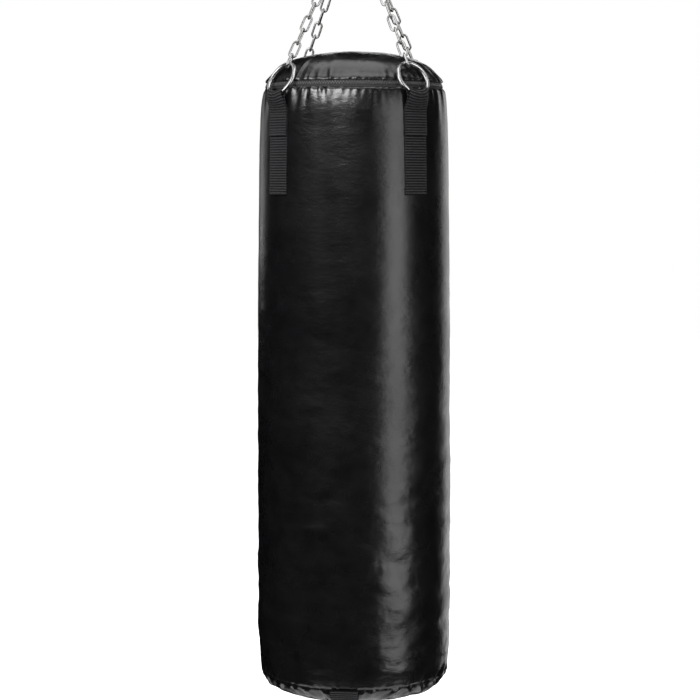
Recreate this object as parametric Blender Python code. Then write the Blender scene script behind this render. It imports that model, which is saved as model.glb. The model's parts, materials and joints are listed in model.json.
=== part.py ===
"""Hanging heavy bag: a filled vinyl cylinder on four chains under a steel spreader and swivel.

Metres, +Z up. The origin is the point where the swivel's eye hangs on its hook. The bag's
axis is the Z axis, and the four chains leave it at 45 degrees to X and Y.
"""
import math

import bmesh
import bpy
from mathutils import Matrix, Vector

GAP = 0.0003                    # clearance between neighbouring pieces
RUNNING_GAP = 0.0004            # clearance of a pin or a stem in its hole
CUT_SPARE = 0.010               # how far a cutter stands out past what it cuts
TURN_STEPS = 36                 # facets round the bag

# Swivel, from the hook downwards
EYE_RADIUS = 0.018              # centre line of the eye's wire
EYE_WIRE = 0.004
STEM_RADIUS = 0.005
STEM_NECK = 0.005               # bare stem between the eye's wire and the collar's slope
STEM_TAIL = 0.0035              # stem that shows under the nut
COLLAR_RADIUS = 0.0085
COLLAR_SLOPE = 0.002
BOSS_TOP = -0.046
BOSS_HEIGHT = 0.012
BOSS_RADIUS = 0.011
BEARING_HEIGHT = 0.006
BEARING_GROOVE = 0.001
NUT_HEIGHT = 0.009
NUT_ACROSS_CORNERS = 0.0196
STIRRUP_WIRE = 0.0045
STIRRUP_HALF_WIDTH = 0.0175     # centre line of the stirrup's sides
STIRRUP_CORNER = 0.008
STIRRUP_BAR_Z = -0.104

# Shackle in the stirrup, and the spreader's lug on its pin
SHACKLE_WIRE = 0.004
SHACKLE_HALF_WIDTH = 0.0143     # centre line of the bow's legs
SHACKLE_LEG = 0.026
SHACKLE_EAR = 0.009
PIN_RADIUS = 0.004
PIN_HEAD_RADIUS = 0.0076
PIN_HEAD_HEIGHT = 0.006
PIN_TAIL = 0.002                # pin that shows past the far ear
LUG_RADIUS = 0.011
LUG_HALF_WIDTH = 0.009
LUG_HEIGHT = 0.020              # from the spreader's top face to the pin
SPREADER_THICKNESS = 0.006
SPREADER_CORNER = 0.014
SPREADER_WEB_RADIUS = 0.055     # from the axis to the web that each chain hangs on
SPREADER_WEB = 0.005            # steel between a chain hole and the corner
SPREADER_HOLE = 0.0054

# Chains: seven welded links and one wider connecting link each
LINK_WIRE = 0.002
LINK_INNER_LENGTH = 0.0273
LINK_INNER_WIDTH = 0.009
LINKS_PER_CHAIN = 7
END_LINK_WIRE = 0.0023
END_LINK_INNER_LENGTH = 0.022
END_LINK_INNER_WIDTH = 0.0125
END_LINK_PLAY = 0.0026          # the end link's bend clears the ring, which crosses it at 45 degrees
TOP_LINK_LIFT = 0.001           # top link's bend above the middle of the web
RING_RADIUS = 0.032             # centre line of the O-rings
RING_WIRE = 0.0034
RING_TOP_RADIUS = 0.1515        # from the bag's axis to the top of each ring
RING_TOP_ABOVE_ZIP = 0.0355

# The bag: (radius, height above the zip line), from the crown to the bottom panel
DOME_LINE = [
    (0.0, 0.0630), (0.060, 0.0588), (0.104, 0.0500), (0.133, 0.0374), (0.150, 0.0222), (0.1598, 0.0083),
]
SIDE_LINE = [
    (0.1656, -0.0090), (0.1700, -0.0300), (0.1733, -0.0750), (0.1767, -0.2400), (0.1798, -0.5800),
    (0.1808, -0.8000), (0.1802, -1.0000), (0.1780, -1.0620), (0.1715, -1.0930),
]
BOTTOM_LINE = [(0.1709, -1.0950), (0.1620, -1.1105), (0.1460, -1.1205), (0.1200, -1.1255)]
SIDE_STEPS = 1                  # stretches of curve between two points of the side line
END_STEPS = 2                   # and of the dome and bottom lines
SKIN = 0.003                    # vinyl with its backing
ZIP_THICKNESS = 0.0025
ZIP_MARGIN = 0.0018             # between the zip's band and the cloth above and below it
FOAM = 0.012
FOAM_TOP = -0.020
FOAM_BOTTOM = -1.078
FILLING_DOME_RADIUS = 0.150     # where the filling leaves the dome's line
FILLING_DROP = 0.004            # from the foam's top edge down to the filling's side
FILLING_FOOT = [(0.130, 0.008), (0.105, 0.0), (0.0, 0.0)]   # (radius, height above its floor)

# Webbing
WEBBING = 0.0025
STRAP_HALF_WIDTH = 0.025
STRAP_TOP = -0.030              # the sewn part, above the zip line
STRAP_BOTTOM = -0.200
STRAP_OVERLAP_END = -0.095      # lower end of the doubled webbing
LOOP_HALF_WIDTH = 0.018
LOOP_RISE = 0.0065              # room for the ring's curve inside the loop
LOOP_SPARE = 0.0008
LOOP_FOOT = -0.055              # where the loop meets the sewn webbing
BOTTOM_STRAP_TOP = -1.082
BOTTOM_STRAP_SAG = 0.026
BOTTOM_STRAP_FLAT = 0.045       # half the length of its level middle
BOTTOM_STRAP_EASE = 0.006       # rise from the level middle to half way out

# Zip slider and its pull
SLIDER_LENGTH = 0.011
SLIDER_WIDTH = 0.008
SLIDER_THICKNESS = 0.0022
SLIDER_LUG = 0.0012             # half the width of the lug that carries the pull
SLIDER_LUG_RADIUS = 0.0016
SLIDER_LUG_SINK = 0.001         # how deep the lug's foot is in the slider's body
SLIDER_HOLE = 0.0009
PULL_LENGTH = 0.024
PULL_HALF_THICKNESS = 0.0006
PULL_START = 0.0024             # from the pin to where the fork becomes the tab
FORK_HALF_THICKNESS = 0.0008
FORK_CHEEK = 0.001              # thickness of each of the fork's cheeks
PULL_PIN_RADIUS = 0.0005
SLIDER_ANGLE = math.radians(-151)   # where the closed zip's slider is parked, from -Y towards +X

# Worked out from the above
SHACKLE_ARC_Z = STIRRUP_BAR_Z + STIRRUP_WIRE + GAP + SHACKLE_WIRE - SHACKLE_HALF_WIDTH
PIN_Z = SHACKLE_ARC_Z - SHACKLE_LEG
SPREADER_Z = PIN_Z - LUG_HEIGHT - SPREADER_THICKNESS / 2
LINK_PITCH = LINK_INNER_LENGTH - GAP
FIRST_LINK = (LINK_INNER_LENGTH - LINK_INNER_WIDTH) / 2 - TOP_LINK_LIFT
LAST_BOTTOM = FIRST_LINK + (LINKS_PER_CHAIN - 1) * LINK_PITCH + LINK_INNER_LENGTH / 2 + LINK_WIRE
END_LINK_TOP = LAST_BOTTOM - LINK_WIRE - END_LINK_WIRE - GAP
END_LINK_CENTRE = END_LINK_TOP + END_LINK_INNER_LENGTH / 2 + END_LINK_WIRE
END_LINK_BOTTOM = END_LINK_CENTRE + END_LINK_INNER_LENGTH / 2 + END_LINK_WIRE
CHAIN_LENGTH = END_LINK_BOTTOM - RING_WIRE - END_LINK_WIRE - END_LINK_PLAY
CHAIN_TILT = math.asin((RING_TOP_RADIUS - SPREADER_WEB_RADIUS) / CHAIN_LENGTH)
RING_TOP_Z = SPREADER_Z - CHAIN_LENGTH * math.cos(CHAIN_TILT)
ZIP_Z = RING_TOP_Z - RING_TOP_ABOVE_ZIP
DOWN_CHAIN = Vector((math.sin(CHAIN_TILT), 0.0, -math.cos(CHAIN_TILT)))

CORNERS = {"front_left": -45, "front_right": 45, "back_right": 135, "back_left": -135}
TWIST = {"front_left": -15, "front_right": 15, "back_right": 15, "back_left": 15}
TWISTED_JOINTS = 3              # the top joints of each chain take up its twist


# --- materials -----------------------------------------------------------------------------
def make_material(name, colour, roughness, metallic=0.0):
    material = bpy.data.materials.new(name)
    material.use_nodes = True
    shader = material.node_tree.nodes["Principled BSDF"]
    shader.inputs["Base Color"].default_value = (*colour, 1.0)
    shader.inputs["Roughness"].default_value = roughness
    shader.inputs["Metallic"].default_value = metallic
    return material


# --- shapes --------------------------------------------------------------------------------
def finish_mesh(bm, name, sharp_angle=35):
    """Turn a bmesh into a mesh whose faces point outwards and whose round faces are smooth."""
    bmesh.ops.recalc_face_normals(bm, faces=bm.faces)
    mesh = bpy.data.meshes.new(name)
    bm.to_mesh(mesh)
    bm.free()
    mesh.shade_smooth()
    mesh.set_sharp_from_angle(angle=math.radians(sharp_angle))
    return mesh


def tube(points, flat_normal, radius, sides, closed=True):
    """A round wire along points that lie in one plane."""
    bm = bmesh.new()
    count = len(points)
    loops = []
    for index, point in enumerate(points):
        before = points[index - 1] if closed or index > 0 else point
        after = points[(index + 1) % count] if closed or index < count - 1 else point
        outward = (after - before).normalized().cross(flat_normal)
        loop = []
        for side in range(sides):
            angle = 2 * math.pi * side / sides
            offset = outward * math.cos(angle) + flat_normal * math.sin(angle)
            loop.append(bm.verts.new(point + offset * radius))
        loops.append(loop)
    for index in range(count if closed else count - 1):
        bridge(bm, loops[index], loops[(index + 1) % count])
    if not closed:
        bm.faces.new(loops[0])
        bm.faces.new(loops[-1])
    return bm


def bridge(bm, first, second):
    """Join two loops of vertices with quads, or with triangles where one is a single point."""
    count = max(len(first), len(second))
    for index in range(count):
        after = (index + 1) % count
        if len(first) == 1:
            bm.faces.new((first[0], second[after], second[index]))
        elif len(second) == 1:
            bm.faces.new((first[index], first[after], second[0]))
        else:
            bm.faces.new((first[index], first[after], second[after], second[index]))


def lathe(profile, steps=TURN_STEPS, closed=True):
    """Turn a profile of (radius, z) points about Z. A closed profile is a ring's section."""
    bm = bmesh.new()
    loops = []
    for radius, z in profile:
        if radius < 1e-6:
            loops.append([bm.verts.new((0.0, 0.0, z))])
            continue
        angles = [2 * math.pi * step / steps for step in range(steps)]
        loops.append([bm.verts.new((radius * math.cos(a), radius * math.sin(a), z)) for a in angles])
    for index in range(len(loops) if closed else len(loops) - 1):
        after = loops[(index + 1) % len(loops)]
        if len(loops[index]) > 1 or len(after) > 1:
            bridge(bm, loops[index], after)
    return bm


def swept_band(section, half_angle, steps):
    """Sweep a closed (radius, z) section about Z through a small angle either side of +X."""
    bm = bmesh.new()
    loops = []
    for step in range(steps + 1):
        angle = half_angle * (2 * step / steps - 1)
        loops.append([bm.verts.new((r * math.cos(angle), r * math.sin(angle), z)) for r, z in section])
    for first, second in zip(loops, loops[1:]):
        bridge(bm, first, second)
    bm.faces.new(loops[0])
    bm.faces.new(loops[-1])
    return bm


def extruded(outline, direction, depth):
    """A straight prism: an outline of 3-D points pushed along a direction, half each way."""
    bm = bmesh.new()
    half = direction.normalized() * depth / 2
    first = [bm.verts.new(point - half) for point in outline]
    second = [bm.verts.new(point + half) for point in outline]
    bridge(bm, first, second)
    bm.faces.new(first)
    bm.faces.new(second)
    return bm


def arc(centre, radius, start, end, steps):
    """Points (a, b) of an arc in degrees, both ends included."""
    angles = [math.radians(start + (end - start) * step / steps) for step in range(steps + 1)]
    return [(centre[0] + radius * math.cos(a), centre[1] + radius * math.sin(a)) for a in angles]


def smooth_line(points, steps):
    """A Catmull-Rom curve through (radius, z) points."""
    line = []
    for index in range(len(points) - 1):
        p1 = Vector(points[index])
        p2 = Vector(points[index + 1])
        p0 = Vector(points[index - 1]) if index else 2 * p1 - p2
        p3 = Vector(points[index + 2]) if index + 2 < len(points) else 2 * p2 - p1
        for step in range(steps):
            t = step / steps
            a = 2 * p1 + (p2 - p0) * t
            b = (2 * p0 - 5 * p1 + 4 * p2 - p3) * t * t
            c = (3 * p1 - p0 - 3 * p2 + p3) * t ** 3
            line.append(tuple((a + b + c) / 2))
    line.append(tuple(points[-1]))
    return line


def offset_line(line, inward):
    """The same line moved towards the inside of the bag."""
    moved = []
    for index, (radius, z) in enumerate(line):
        before = line[max(index - 1, 0)]
        after = line[min(index + 1, len(line) - 1)]
        along = Vector((after[0] - before[0], after[1] - before[1])).normalized()
        new_radius = 0.0 if radius < 1e-6 else radius + along.y * inward
        moved.append((new_radius, z - along.x * inward))
    return moved


def between(line, top, bottom):
    """The part of a line from one height down to another, with both ends cut exactly."""
    def at(height):
        for (r1, z1), (r2, z2) in zip(line, line[1:]):
            if z2 <= height <= z1:
                return (r1 + (r2 - r1) * (height - z1) / (z2 - z1), height)
        return None
    middle = [point for point in line if bottom < point[1] < top]
    return [at(top)] + middle + [at(bottom)]


def raised(line):
    """A line given above the zip, moved to its real height."""
    return [(radius, z + ZIP_Z) for radius, z in line]


# --- assembly helpers ----------------------------------------------------------------------
def make_pivot(name, location, parent=None):
    """An empty on a joint's axis. Its own world place is kept in its location."""
    empty = bpy.data.objects.new(name, None)
    empty.empty_display_size = 0.03
    empty.location = Vector(location)
    if parent is not None:
        empty.parent = parent
        empty.location -= world_place(parent)
    bpy.context.collection.objects.link(empty)
    return empty


def world_place(empty):
    place = Vector(empty.location)
    while empty.parent is not None:
        empty = empty.parent
        place += empty.location
    return place


def add_piece(mesh, name, material, pivot, matrix=None):
    """Put a mesh in the scene as one named sub-part, carried by a pivot."""
    piece = bpy.data.objects.new(name, mesh)
    if not mesh.materials:
        mesh.materials.append(material)
    bpy.context.collection.objects.link(piece)
    piece.parent = pivot
    piece.matrix_local = Matrix.Translation(-world_place(pivot)) @ (matrix or Matrix())
    return piece


def merged(base, tool, operation):
    """Unite or cut two bmeshes with an exact boolean, and return the mesh."""
    pieces = []
    for shape in (base, tool):
        mesh = shape if isinstance(shape, bpy.types.Mesh) else finish_mesh(shape, "shape")
        piece = bpy.data.objects.new("shape", mesh)
        bpy.context.collection.objects.link(piece)
        pieces.append(piece)
    modifier = pieces[0].modifiers.new("boolean", "BOOLEAN")
    modifier.operation = operation
    modifier.solver = "EXACT"
    modifier.object = pieces[1]
    depsgraph = bpy.context.evaluated_depsgraph_get()
    result = bpy.data.meshes.new_from_object(pieces[0].evaluated_get(depsgraph))
    for piece in pieces:
        bpy.data.objects.remove(piece)
    result.shade_smooth()
    result.set_sharp_from_angle(angle=math.radians(35))
    return result


def rod(start, end, radius, sides=20):
    """A straight round bar between two points."""
    along = (Vector(end) - Vector(start)).normalized()
    across = along.orthogonal().normalized()
    flat = along.cross(across)
    return tube([Vector(start), Vector(end)], flat, radius, sides, closed=False)


# --- swivel and shackle --------------------------------------------------------------------
def swivel_eye(material, pivot):
    centre = Vector((0, 0, -EYE_RADIUS + EYE_WIRE))
    ring = [centre + Vector((x, 0, z)) for x, z in arc((0, 0), EYE_RADIUS, 0, 337.5, 15)]
    eye = tube(ring, Vector((0, 1, 0)), EYE_WIRE, 8)
    wire_middle = centre.z - EYE_RADIUS
    collar_top = wire_middle - STEM_NECK - COLLAR_SLOPE
    collar_bottom = BOSS_TOP + RUNNING_GAP
    stem = lathe([
        (0, wire_middle), (STEM_RADIUS, wire_middle), (STEM_RADIUS, collar_top + COLLAR_SLOPE),
        (COLLAR_RADIUS, collar_top), (COLLAR_RADIUS, collar_bottom), (STEM_RADIUS, collar_bottom),
        (STEM_RADIUS, stem_end()), (0, stem_end()),
    ], steps=20, closed=False)
    add_piece(merged(eye, stem, "UNION"), "swivel_eye", material, pivot)


def bearing_top():
    return BOSS_TOP - BOSS_HEIGHT - GAP


def nut_top():
    return bearing_top() - BEARING_HEIGHT - GAP


def stem_end():
    return nut_top() - NUT_HEIGHT - STEM_TAIL


def swivel_nut(material, pivot):
    corner = NUT_ACROSS_CORNERS / 2
    middle = nut_top() - NUT_HEIGHT / 2
    outline = [Vector((x, y, middle)) for x, y in arc((0, 0), corner, 0, 300, 5)]
    blank = extruded(outline, Vector((0, 0, 1)), NUT_HEIGHT)
    hole = rod((0, 0, middle - NUT_HEIGHT), (0, 0, middle + NUT_HEIGHT), STEM_RADIUS + RUNNING_GAP)
    add_piece(merged(blank, hole, "DIFFERENCE"), "swivel_nut", material, pivot)


def swivel_bearing(material, pivot):
    inner = STEM_RADIUS + RUNNING_GAP
    outer = BOSS_RADIUS - 2 * RUNNING_GAP
    top = bearing_top()
    bottom = top - BEARING_HEIGHT
    groove = (top + bottom) / 2
    section = [
        (inner, top), (outer, top), (outer, groove + BEARING_GROOVE), (outer - BEARING_GROOVE, groove),
        (outer, groove - BEARING_GROOVE), (outer, bottom), (inner, bottom),
    ]
    add_piece(finish_mesh(lathe(section, steps=24), "swivel_bearing"), "swivel_bearing", material, pivot)


def swivel_stirrup(material, pivot):
    top = BOSS_TOP - BOSS_HEIGHT / 2
    inner_x = STIRRUP_HALF_WIDTH - STIRRUP_CORNER
    outline = arc((inner_x, top - STIRRUP_CORNER), STIRRUP_CORNER, 90, 0, 4)
    outline += arc((inner_x, STIRRUP_BAR_Z + STIRRUP_CORNER), STIRRUP_CORNER, 0, -90, 4)
    outline += [(-x, z) for x, z in reversed(outline)]
    frame = tube([Vector((x, 0, z)) for x, z in outline], Vector((0, 1, 0)), STIRRUP_WIRE, 12)
    boss = rod((0, 0, BOSS_TOP), (0, 0, BOSS_TOP - BOSS_HEIGHT), BOSS_RADIUS, 24)
    body = merged(frame, boss, "UNION")
    above = (0, 0, BOSS_TOP + CUT_SPARE)
    below = (0, 0, BOSS_TOP - BOSS_HEIGHT - CUT_SPARE)
    hole = rod(above, below, STEM_RADIUS + RUNNING_GAP)
    add_piece(merged(body, hole, "DIFFERENCE"), "swivel_stirrup", material, pivot)


def shackle_bow(material, pivot):
    leg = [(SHACKLE_HALF_WIDTH, PIN_Z)]
    bend = arc((0, SHACKLE_ARC_Z), SHACKLE_HALF_WIDTH, 0, 180, 10)
    line = leg + bend + [(-SHACKLE_HALF_WIDTH, PIN_Z)]
    body = tube([Vector((0, y, z)) for y, z in line], Vector((1, 0, 0)), SHACKLE_WIRE, 10, closed=False)
    for side in (-1, 1):
        inner = side * (SHACKLE_HALF_WIDTH - SHACKLE_WIRE)
        outer = side * (SHACKLE_HALF_WIDTH + SHACKLE_WIRE)
        body = merged(body, rod((0, inner, PIN_Z), (0, outer, PIN_Z), SHACKLE_EAR, 20), "UNION")
    reach = SHACKLE_HALF_WIDTH + SHACKLE_WIRE + CUT_SPARE
    hole = rod((0, -reach, PIN_Z), (0, reach, PIN_Z), PIN_RADIUS + RUNNING_GAP)
    add_piece(merged(body, hole, "DIFFERENCE"), "shackle_bow", material, pivot)


def shackle_pin(material, pivot):
    ear = SHACKLE_HALF_WIDTH + SHACKLE_WIRE
    head_top = ear + PIN_HEAD_HEIGHT
    profile = [
        (0, head_top), (PIN_HEAD_RADIUS, head_top), (PIN_HEAD_RADIUS, ear + GAP), (PIN_RADIUS, ear + GAP),
        (PIN_RADIUS, -ear - PIN_TAIL), (0, -ear - PIN_TAIL),
    ]
    mesh = finish_mesh(lathe(profile, steps=20, closed=False), "shackle_pin")
    along_y = Matrix.Translation((0, 0, PIN_Z)) @ Matrix.Rotation(math.radians(-90), 4, "X")
    add_piece(mesh, "shackle_pin", material, pivot, along_y)


def spreader_plate(material, pivot):
    """A square plate with a hole near each corner and a lug for the shackle's pin."""
    diagonal = math.sqrt(0.5)
    corner_place = (SPREADER_WEB_RADIUS + SPREADER_WEB / 2 - SPREADER_CORNER) * diagonal
    outline = []
    for quarter in range(4):
        start = 90 * quarter
        turn = math.radians(start)
        centre = Vector((corner_place, corner_place, 0))
        centre.rotate(Matrix.Rotation(turn, 3, "Z"))
        outline += arc((centre.x, centre.y), SPREADER_CORNER, start, start + 90, 6)
    points = [Vector((x, y, SPREADER_Z)) for x, y in outline]
    plate = extruded(points, Vector((0, 0, 1)), SPREADER_THICKNESS)

    lug_line = arc((0, PIN_Z), LUG_RADIUS, 0, 180, 12)
    lug_line += [(-LUG_RADIUS, SPREADER_Z), (LUG_RADIUS, SPREADER_Z)]
    lug = extruded([Vector((x, 0, z)) for x, z in lug_line], Vector((0, 1, 0)), 2 * LUG_HALF_WIDTH)
    body = merged(plate, lug, "UNION")
    reach = LUG_HALF_WIDTH + CUT_SPARE
    pin_hole = rod((0, -reach, PIN_Z), (0, reach, PIN_Z), PIN_RADIUS + RUNNING_GAP)
    body = merged(body, pin_hole, "DIFFERENCE")

    hole_place = (SPREADER_WEB_RADIUS - SPREADER_WEB / 2 - SPREADER_HOLE) * diagonal
    for x in (-hole_place, hole_place):
        for y in (-hole_place, hole_place):
            hole = rod((x, y, SPREADER_Z - CUT_SPARE), (x, y, SPREADER_Z + CUT_SPARE), SPREADER_HOLE)
            body = merged(body, hole, "DIFFERENCE")
    add_piece(body, "spreader_plate", material, pivot)


# --- chains and rings ----------------------------------------------------------------------
def link_mesh(name, inner_length, inner_width, wire):
    """An oblong link standing along Z in the XZ plane."""
    bend = inner_width / 2 + wire
    straight = (inner_length - inner_width) / 2
    line = arc((0, straight), bend, 0, 180, 4) + arc((0, -straight), bend, 180, 360, 4)
    body = tube([Vector((x, 0, z)) for x, z in line], Vector((0, 1, 0)), wire, 6)
    return finish_mesh(body, name, 80)


def corner_matrix(angle):
    """Turns local +X to point from the bag's axis towards a corner."""
    return Matrix.Rotation(math.radians(angle - 90), 4, "Z")


def along_chain(distance, twist):
    """A frame on the chain's line, its -Z pointing down the chain."""
    web = Vector((SPREADER_WEB_RADIUS, 0, SPREADER_Z))
    lean = Matrix.Rotation(-CHAIN_TILT, 4, "Y")
    turn = Matrix.Rotation(math.radians(twist), 4, "Z")
    return Matrix.Translation(web + DOWN_CHAIN * distance) @ lean @ turn


def chain(corner, link, end_link, material, pivot):
    turned = corner_matrix(CORNERS[corner])
    for index in range(LINKS_PER_CHAIN + 1):
        twist = 90 * index + TWIST[corner] * min(index, TWISTED_JOINTS)
        last = index == LINKS_PER_CHAIN
        distance = END_LINK_CENTRE if last else FIRST_LINK + index * LINK_PITCH
        name = f"end_link_{corner}" if last else f"link_{corner}_{index + 1}"
        add_piece(end_link if last else link, name, material, pivot, turned @ along_chain(distance, twist))


def ring_mesh():
    line = arc((0, 0), RING_RADIUS, 0, 337.5, 15)
    wire = tube([Vector((0, y, z)) for y, z in line], Vector((1, 0, 0)), RING_WIRE, 6)
    return finish_mesh(wire, "ring", 80)


# --- webbing -------------------------------------------------------------------------------
def strap_mesh():
    """One hanging strap at +X: webbing sewn to the shell, with a loop round the ring."""
    side = smooth_line(SIDE_LINE, SIDE_STEPS)
    back = between(offset_line(side, -GAP), STRAP_TOP, STRAP_BOTTOM)
    single = between(offset_line(side, -GAP - WEBBING), STRAP_OVERLAP_END, STRAP_BOTTOM)
    double = between(offset_line(side, -GAP - 2 * WEBBING), STRAP_TOP, STRAP_OVERLAP_END)
    section = raised(back + list(reversed(double + single)))
    plate = swept_band(section, STRAP_HALF_WIDTH / SIDE_LINE[2][0], 6)

    ring_bottom = ring_centre() + DOWN_CHAIN * RING_RADIUS
    fold = ring_bottom - DOWN_CHAIN * LOOP_RISE
    lean = math.degrees(CHAIN_TILT)
    slot_radius = RING_WIRE + LOOP_SPARE
    body = slot_outline(ring_bottom, fold, slot_radius + WEBBING, lean)
    # The loop's two layers close onto the sewn webbing at the foot.
    outer_foot = between(double, LOOP_FOOT, STRAP_OVERLAP_END)[0][0] - GAP
    inner_foot = between(back, LOOP_FOOT, STRAP_BOTTOM)[0][0] + 2 * GAP
    body = body[:-4] + [(outer_foot, LOOP_FOOT + ZIP_Z), (inner_foot, LOOP_FOOT + ZIP_Z), body[-1]]
    loop = extruded([Vector((x, 0, z)) for x, z in body], Vector((0, 1, 0)), 2 * LOOP_HALF_WIDTH)
    slot_line = slot_outline(ring_bottom, fold, slot_radius, lean)
    slot_width = 2 * (LOOP_HALF_WIDTH + CUT_SPARE)
    slot = extruded([Vector((x, 0, z)) for x, z in slot_line], Vector((0, 1, 0)), slot_width)
    return merged(merged(plate, loop, "UNION"), slot, "DIFFERENCE")


def slot_outline(low, high, radius, lean):
    """A long round-ended outline round two points, leaning outwards as it goes down.

    It starts at the inner side of the upper end and runs over the top, down the outer side.
    """
    upper = arc((high.x, high.z), radius, 180 + lean, lean, 8)
    lower = arc((low.x, low.z), radius, lean, lean - 180, 8)
    return upper + lower


def ring_centre():
    return Vector((RING_TOP_RADIUS, 0, RING_TOP_Z)) + DOWN_CHAIN * RING_RADIUS


def bottom_strap(material, pivot):
    """A strap sewn in at the front and back of the bottom seam, hanging in a shallow loop."""
    side = smooth_line(SIDE_LINE, SIDE_STEPS)
    bottom = smooth_line(BOTTOM_LINE, END_STEPS)
    run = between(side, BOTTOM_STRAP_TOP, SIDE_LINE[-1][1] + GAP) + bottom
    inner = offset_line(run, -GAP * 2)
    outer = offset_line(run, -GAP * 2 - WEBBING)
    last = BOTTOM_LINE[-1]
    depth = last[1] - BOTTOM_STRAP_SAG
    half_way = (last[0] + BOTTOM_STRAP_FLAT) / 2
    inner += [(half_way, depth + BOTTOM_STRAP_EASE), (BOTTOM_STRAP_FLAT, depth)]
    outer += [(half_way, depth + BOTTOM_STRAP_EASE - WEBBING), (BOTTOM_STRAP_FLAT, depth - WEBBING)]
    half = inner + list(reversed([(-y, z) for y, z in inner]))
    other = outer + list(reversed([(-y, z) for y, z in outer]))
    line = raised(half) + list(reversed(raised(other)))
    strap = extruded([Vector((0, y, z)) for y, z in line], Vector((1, 0, 0)), 2 * STRAP_HALF_WIDTH)
    add_piece(finish_mesh(strap, "bottom_strap"), "bottom_strap", material, pivot)


# --- the bag -------------------------------------------------------------------------------
def top_cover(material, pivot):
    outer = smooth_line(DOME_LINE, END_STEPS)
    profile = raised(outer + list(reversed(offset_line(outer, SKIN))))
    add_piece(finish_mesh(lathe(profile), "top_cover"), "top_cover", material, pivot)


def zip_section():
    """The zip's band between the cover and the shell, with a gap above and below it."""
    low = Vector(SIDE_LINE[0])
    high = Vector(DOME_LINE[-1])
    along = (high - low).normalized()
    inward = Vector((-along.y, along.x))
    low += along * ZIP_MARGIN
    high -= along * ZIP_MARGIN
    return low, high, along, inward


def zip_tape(material, pivot):
    low, high, _, inward = zip_section()
    corners = [high, low, low + inward * ZIP_THICKNESS, high + inward * ZIP_THICKNESS]
    profile = raised([tuple(corner) for corner in corners])
    add_piece(finish_mesh(lathe(profile), "zip_tape"), "zip_tape", material, pivot)


def outer_shell(material, pivot):
    outer = smooth_line(SIDE_LINE, SIDE_STEPS)
    profile = raised(outer + list(reversed(offset_line(outer, SKIN))))
    add_piece(finish_mesh(lathe(profile), "outer_shell"), "outer_shell", material, pivot)


def bottom_panel(material, pivot):
    outer = smooth_line(BOTTOM_LINE, END_STEPS)
    inner = offset_line(outer, SKIN)
    outer.append((0.0, outer[-1][1]))
    inner.append((0.0, inner[-1][1]))
    profile = raised(outer + list(reversed(inner)))
    add_piece(finish_mesh(lathe(profile), "bottom_panel"), "bottom_panel", material, pivot)


def foam_liner(material, pivot):
    side = smooth_line(SIDE_LINE, SIDE_STEPS)
    outer = between(offset_line(side, SKIN + GAP), FOAM_TOP, FOAM_BOTTOM)
    inner = between(offset_line(side, SKIN + GAP + FOAM), FOAM_TOP, FOAM_BOTTOM)
    profile = raised(outer + list(reversed(inner)))
    add_piece(finish_mesh(lathe(profile), "foam_liner"), "foam_liner", material, pivot)


def filling(material, pivot):
    """The packed textile core, domed under the cover and flat on the bottom panel."""
    dome = offset_line(smooth_line(DOME_LINE, END_STEPS), SKIN + 2 * GAP)
    shoulder = [point for point in dome if point[0] < FILLING_DOME_RADIUS]
    side = offset_line(smooth_line(SIDE_LINE, SIDE_STEPS), SKIN + FOAM + 3 * GAP)
    floor = BOTTOM_LINE[-1][1] + SKIN + 2 * GAP
    foot = [(radius, floor + height) for radius, height in FILLING_FOOT]
    profile = raised(shoulder + between(side, FOAM_TOP - FILLING_DROP, FOAM_BOTTOM) + foot)
    add_piece(finish_mesh(lathe(profile, closed=False), "filling"), "filling", material, pivot)


# --- zip slider ----------------------------------------------------------------------------
def slider_frame():
    """On the zip's outer face: X along the zip, Y out of the bag, Z up the band."""
    low, high, along, inward = zip_section()
    middle = (low + high) / 2
    place = Vector((middle.x, 0, middle.y + ZIP_Z))
    outward = Vector((-inward.x, 0, -inward.y))
    up = Vector((along.x, 0, along.y))
    axes = Matrix((Vector((0, -1, 0)), outward, up)).transposed().to_4x4()
    return Matrix.Translation(place) @ axes


def slider_matrix():
    return Matrix.Rotation(SLIDER_ANGLE - math.pi / 2, 4, "Z") @ slider_frame()


def box(low, high):
    outline = [(low[0], low[1]), (high[0], low[1]), (high[0], high[1]), (low[0], high[1])]
    middle = (low[2] + high[2]) / 2
    return extruded([Vector((x, y, middle)) for x, y in outline], Vector((0, 0, 1)), high[2] - low[2])


def pull_axis_height():
    return GAP * 2 + SLIDER_THICKNESS + SLIDER_LUG_RADIUS


def zip_slider(material, pivot):
    half = SLIDER_LENGTH / 2
    wide = SLIDER_WIDTH / 2
    floor = GAP * 2
    body = box((-half, floor, -wide), (half, floor + SLIDER_THICKNESS, wide))
    axis = pull_axis_height()
    foot = floor + SLIDER_THICKNESS - SLIDER_LUG_SINK
    lug_line = arc((0, axis), SLIDER_LUG_RADIUS, 0, 180, 8)
    lug_line += [(-SLIDER_LUG_RADIUS, foot), (SLIDER_LUG_RADIUS, foot)]
    lug = extruded([Vector((x, y, 0)) for x, y in lug_line], Vector((0, 0, 1)), 2 * SLIDER_LUG)
    whole = merged(body, lug, "UNION")
    hole = rod((0, axis, -CUT_SPARE), (0, axis, CUT_SPARE), SLIDER_HOLE, 12)
    add_piece(merged(whole, hole, "DIFFERENCE"), "zip_slider", material, pivot, slider_matrix())


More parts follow.
